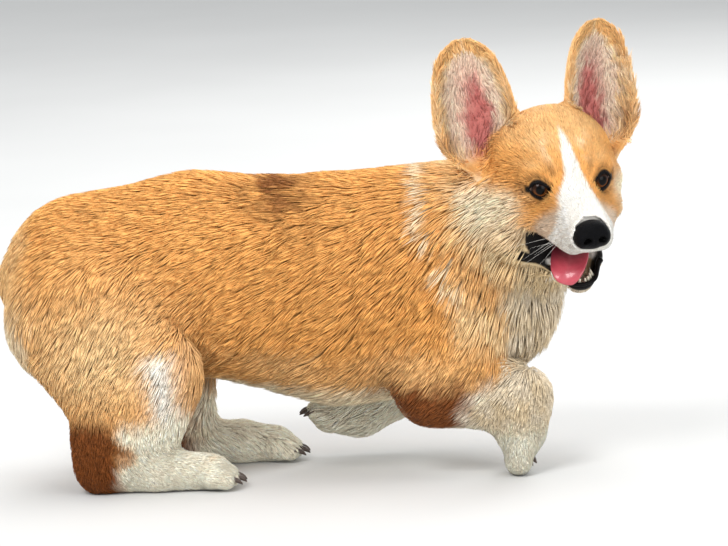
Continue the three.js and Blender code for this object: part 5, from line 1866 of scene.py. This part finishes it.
@dataclass
class Mouth:
    """Tongue, teeth and the rolls of the lips."""

    workshop: Workshop
    tongue_rows: Sequence[Sequence[float]] = (
        (32, 0, -11, 10, 4),
        (43, -1, -6, 13, 4.5),
        (54, -4, -3.5, 14.5, 3.6),
        (63, -8, -2.8, 14, 3),
        (70, -11.5, -3.2, 12, 2.6),
        (74.5, -14, -5.8, 8.5, 2.2),
    )

    def frame(self) -> Array:
        """From the jaw's frame to the maker's frame."""
        return HEAD.matrix @ HEAD.jaw_matrix

    def tongue(self) -> bpy.types.Object:
        """Lofts the tongue with its middle groove."""
        rows = np.array(list(self.tongue_rows) + [(76.2, -15.2, -8.2, 4.6, 1.5)], float)
        bm = bmesh.new()
        loops = []
        for i, (x, y, z, wide, thick) in enumerate(rows):
            ahead = unit(rows[min(i + 1, len(rows) - 1), :3] - rows[max(i - 1, 0), :3])
            side = np.array([0, 1, 0.3 * min(1, i / 3)])
            side = unit(side - ahead * (side @ ahead))
            up = np.cross(ahead, side)
            verts = []
            for n in range(20):
                angle = 2 * math.pi * n / 20
                dip = 0.34 * thick * max(0.0, 1 - (2.6 * math.cos(angle)) ** 2) * max(0.0, math.sin(angle))
                edge = 0.25 * thick * math.cos(angle) ** 4
                rise = thick * math.sin(angle) - dip + edge
                spot = np.array([x, y, z]) + side * wide * math.cos(angle) + up * rise
                verts.append(bm.verts.new(spot))
            loops.append([bm.edges.new((verts[n], verts[(n + 1) % 20])) for n in range(20)])
        bridge(bm, loops)
        made = self.workshop.from_bmesh("tongue_body", bm, self.frame())
        soft = made.modifiers.new("soft", "SUBSURF")
        soft.levels = soft.render_levels = 2
        bpy.context.view_layer.objects.active = made
        bpy.ops.object.modifier_apply(modifier="soft")
        q = self.workshop.points(made, self.frame())
        # painted shade: the tongue is darkened toward its root, back inside the mouth
        colour = lay(plain(PALETTE.tongue, len(q)), PALETTE.tongue_root_shade, step(68, 46, q[:, 0]))
        line = np.interp(q[:, 0], rows[:, 0], rows[:, 1])
        colour = lay(colour, PALETTE.tongue_groove, 0.6 * hill((q[:, 1] - line) / 1.6))
        paint(made.data, np.clip(colour * (1 + 0.08 * ripple(q, 6, 71)[:, None]), 0, 1))
        return made

    def teeth(self) -> bpy.types.Object:
        """Sets the lower front teeth and canines round the end of the jaw."""
        bm = bmesh.new()
        middle = HEAD.jaw_length - 16
        for n in (-3, -2.2, -1.4, -0.6, 0.6, 1.4, 2.2, 3):
            sunk, wide, narrow, tall = (0.5, 2.0, 0.35, 9) if abs(n) == 3 else (1.5, 1.35, 0.75, 5.4)
            turn = n * 0.42
            at = Vector((middle + 10.2 * math.cos(turn), 8.6 * math.sin(turn), HEAD.jaw_top - sunk))
            place = Matrix.Translation(at) @ Matrix.Rotation(math.atan2(at.y, 10) * 0.4, 4, "X")
            bmesh.ops.create_cone(
                bm, cap_ends=True, segments=10, radius1=wide, radius2=narrow, depth=tall, matrix=place
            )
        bmesh.ops.bevel(
            bm,
            geom=list(bm.edges),
            offset=0.25,
            offset_type="OFFSET",
            segments=2,
            profile=0.5,
            affect="EDGES",
            material=-1,
        )
        made = self.workshop.from_bmesh("lower_teeth", bm, self.frame())
        paint(made.data, PALETTE.tooth)
        return made

    def roll(
        self,
        name: str,
        form: Field,
        centre: float,
        height: Callable[[Array], Array],
        span: float,
        inset: float,
        size: float,
        matrix: Array,
    ) -> bpy.types.Object:
        """Sweeps a lip along the edge of a form.

        Args:
            name: The piece's name.
            form: The field whose edge it follows.
            centre: Where the rays start along the muzzle.
            height: The lip's height along the muzzle.
            span: How far it runs to each side, in degrees.
            inset: How deep it sits.
            size: Its radius.
            matrix: From the form's frame to the maker's frame.

        Returns:
            The object.
        """
        centres = []
        for angle in np.radians(np.linspace(-span, span, 61)):
            ray = np.array([math.cos(angle), math.sin(angle), 0])
            d = np.arange(4, 70, 0.25)[:, None]
            p = np.array([[centre, 0, 0]]) + ray * d
            p[:, 2] = height(p[:, 0])
            inside = np.nonzero(form(p.astype(np.float32)) < 0)[0]
            reach = d[inside[-1], 0] if len(inside) else 4
            spot = np.array([centre, 0, 0]) + ray * (reach - inset)
            spot[2] = float(height(np.array([spot[0]]))[0])
            centres.append(spot)
        centres = np.array(centres)
        for _ in range(3):
            centres[1:-1] = (centres[:-2] + 2 * centres[1:-1] + centres[2:]) / 4
        share = np.abs(np.linspace(-1, 1, 61))
        bm = bmesh.new()
        tube(bm, centres, size * (0.72 + 0.5 * share**2) * step(1.0, 0.93, share).clip(0.35, 1), 10)
        made = self.workshop.from_bmesh(name, bm, matrix)
        paint(made.data, PALETTE.lip_roll)
        return made

    def lips(self) -> list[bpy.types.Object]:
        """Both lips' dark rolls."""
        over = lambda x: HEAD.lip_line(x) + 0.7
        under = lambda x: np.full(len(x), HEAD.jaw_top - 1.4)
        return [
            self.roll("upper_lip", HEAD.upper(), 20, over, 88, 2.4, 1.4, HEAD.matrix),
            self.roll("lower_lip", HEAD.lower(), 48, under, 74, 1.7, 2.1, self.frame()),
        ]


@dataclass
class Claws:
    """Curved claws of all four feet."""

    workshop: Workshop
    rows: Sequence[tuple[float, float]] = (
        (-3.5, 2.2),
        (-1, 2.1),
        (1.5, 1.8),
        (3.6, 1.35),
        (5.2, 0.8),
        (6.2, 0.25),
    )

    def feet(self) -> dict[str, tuple[Triple, float, float, float, float, float]]:
        """Each paw's place, heading, reach, drop, pitch and gap."""
        right, left = BODY.hind_points(Side.RIGHT)["paw"], BODY.hind_points(Side.LEFT)["paw"]
        return {
            "hind_right": (right[:3], 1, 22, -4, -0.35, 9.2),
            "hind_left": (left[:3], 1, 22, -4, -0.35, 9.2),
            "fore_right": ((161, BODY.fore_track[0] + 1, 12), 1, 10, 0, -0.7, 7.8),
            "fore_left": ((12, BODY.fore_track[1], 38), -1, 6.5, 0, -0.2, 7.8),
        }

    def build(self, name: str) -> bpy.types.Object:
        """Makes the four claws of one foot."""
        at, heading, reach, drop, pitch, gap = self.feet()[name]
        bm = bmesh.new()
        way = unit(np.array([heading, 0, math.sin(pitch)]))
        bend = np.cross(np.array([0, 1.0, 0]), way) * (1 if heading > 0 else -1)
        for n in TOES:
            start = np.array(at, float) + [heading * (reach - 2.2 * abs(n) ** 1.4), heading * n * gap, drop]
            centres = np.array([start + way * s - bend * -0.045 * s * s for s, _ in self.rows])
            centres[:, 2] = np.maximum(centres[:, 2], 1.6)
            tube(bm, centres, np.array([r for _, r in self.rows]), 8)
        made = self.workshop.from_bmesh(f"claws_{name}", bm, np.eye(4))
        paint(made.data, PALETTE.claw)
        return made


@dataclass
class Whiskers:
    """Fine white whiskers of the muzzle."""

    workshop: Workshop
    coated: Coated
    seed: int = 23

    def build(self) -> bpy.types.Object:
        """Makes tapered hairs that bend back from the muzzle."""
        rng = np.random.default_rng(self.seed)
        bm = bmesh.new()
        bend = np.array([-0.35, 0, -0.22])
        for side in (-1, 1):
            for _ in range(6):
                x, z = 26 + 11 * rng.random(), -24 - 9 * rng.random()
                way = np.array([0.5 - 0.6 * rng.random(), side * 1.0, -0.5 + 0.8 * rng.random()])
                length = 18 + 16 * rng.random()
                start = np.array([x, side * 14.0, z])
                for _ in range(6):
                    depth = self.coated.whole_upper(start[None].astype(np.float32))[0]
                    start = start + np.array([0, side, 0]) * float(np.clip(-depth, -4, 4)) * 0.8
                way = unit(way + rng.normal(0, 0.12, 3))
                steps = np.linspace(0, 1, 7)
                line = np.array([start + way * length * s + bend * length * s * s for s in steps])
                tube(bm, line, 0.09 * (1 - 0.8 * steps), 5)
        made = self.workshop.from_bmesh("whiskers", bm, HEAD.matrix)
        paint(made.data, PALETTE.whisker)
        return made


# Studio


@dataclass(frozen=True)
class Studio:
    """Floor, lights and the camera at the photograph's angle."""

    elevation: float = 9.0
    roll: float = 2.5
    distance: float = 3400.0
    scale: float = 1.35
    target: Triple = (53.7, 0.0, 146.3)
    wide: int = 728

    def camera(self, workshop: Workshop) -> None:
        """Sets the camera."""
        e, r = math.radians(self.elevation), math.radians(self.roll)
        ahead = np.array([0, math.cos(e), -math.sin(e)])
        right0, up0 = np.array([1.0, 0, 0]), np.array([0, math.sin(e), math.cos(e)])
        right = right0 * math.cos(r) - up0 * math.sin(r)
        up = right0 * math.sin(r) + up0 * math.cos(r)
        place = np.eye(4)
        place[:3, 0], place[:3, 1], place[:3, 2] = right, up, -ahead
        place[:3, 3] = workshop.to_metres(np.array(self.target) - ahead * self.distance)
        lens = bpy.data.cameras.new("camera")
        lens.sensor_width = 36
        lens.lens = self.scale * self.distance * 36 / self.wide
        made = linked("camera", lens)
        made.matrix_world = Matrix(place.tolist())
        bpy.context.scene.camera = made

    @staticmethod
    def lights() -> None:
        """Hangs soft lights and a pale sky."""
        for name, at, size, power in (
            ("key", (-1.1, -2.0, 2.3), 1.2, 60.0),
            ("fill", (1.9, -2.4, 1.0), 2.0, 37.0),
            ("top", (0.2, 0.4, 2.6), 2.2, 34.0),
            ("rim", (1.0, 2.2, 1.5), 1.4, 26.0),
        ):
            lamp = bpy.data.lights.new(name, "AREA")
            lamp.size, lamp.energy = size, power
            made = linked(name, lamp)
            made.location = at
            made.rotation_euler = (Vector((0, 0, 0.15)) - Vector(at)).to_track_quat("-Z", "Y").to_euler()
        world = bpy.data.worlds.new("sky")
        world.use_nodes = True
        sky = world.node_tree.nodes["Background"].inputs
        sky["Color"].default_value = (0.93, 0.95, 0.97, 1)
        sky["Strength"].default_value = 0.78
        bpy.context.scene.world = world
        bpy.context.scene.view_settings.view_transform = "Standard"

    @staticmethod
    def floor() -> None:
        """Lays the plain pale floor."""
        bm = bmesh.new()
        bmesh.ops.create_circle(bm, cap_ends=True, segments=64, radius=14)
        mesh = mesh_of("studio_floor", bm)
        made = linked("studio_floor", mesh)
        n = Nodes("floor_paper")
        noise = n.add("ShaderNodeTexNoise", Scale=3.0)
        ramp = n.add("ShaderNodeValToRGB")
        ramp.color_ramp.elements[0].color = (0.60, 0.60, 0.59, 1)
        ramp.color_ramp.elements[1].color = (0.66, 0.66, 0.65, 1)
        place = n.add("ShaderNodeTexCoord")
        n.link(place.outputs["Object"], noise.inputs["Vector"])
        n.link(noise.outputs["Fac"], ramp.inputs["Fac"])
        n.link(ramp.outputs["Color"], n.shader.inputs["Base Color"])
        n.fixed(Roughness=0.9)
        mesh.materials.append(n.material)


def main() -> None:
    """Builds the dog, part by part."""
    workshop = Workshop()
    studio = Studio()
    studio.camera(workshop)
    studio.lights()
    studio.floor()
    coated = Coated()
    markings = Markings(coated)
    grain = grain_group()
    dress = {f.name: f.material(grain) for f in (HAIR, SKIN, WET, LIP, ENAMEL, HORN, PEBBLE, EYE, WHISKER)}
    skin = Skin(workshop, coated, markings)
    body = skin.build()
    workshop.finish(body, dress["skin"], "trunk", skin.stands_for)
    for made, slot in Coat(workshop, coated, markings, body).build():
        workshop.finish(made, dress["coat_hair"], slot)
    eyes = Eyes(workshop)
    for side in Side:
        ball = eyes.ball(side)
        eyes.paint(ball, side)
        workshop.finish(ball, dress["eye_gloss"], f"eye_{side.word}", [f"eye_{side.word}"])
        workshop.finish(eyes.rim(side), dress["lip_hide"], "head")
    workshop.finish(Nose(workshop).build(), dress["nose_hide"], "nose", ["nose"])
    mouth = Mouth(workshop)
    workshop.finish(mouth.tongue(), dress["tongue_wet"], "tongue", ["tongue"])
    workshop.finish(mouth.teeth(), dress["tooth"], "lower_jaw")
    for lip in mouth.lips():
        workshop.finish(lip, dress["lip_hide"], "lower_jaw")
    claws = Claws(workshop)
    for name in claws.feet():
        workshop.finish(claws.build(name), dress["claw_horn"], "foot_right")
    workshop.finish(Whiskers(workshop, coated).build(), dress["whisker"], "head")


if __name__ == "__main__":
    main()
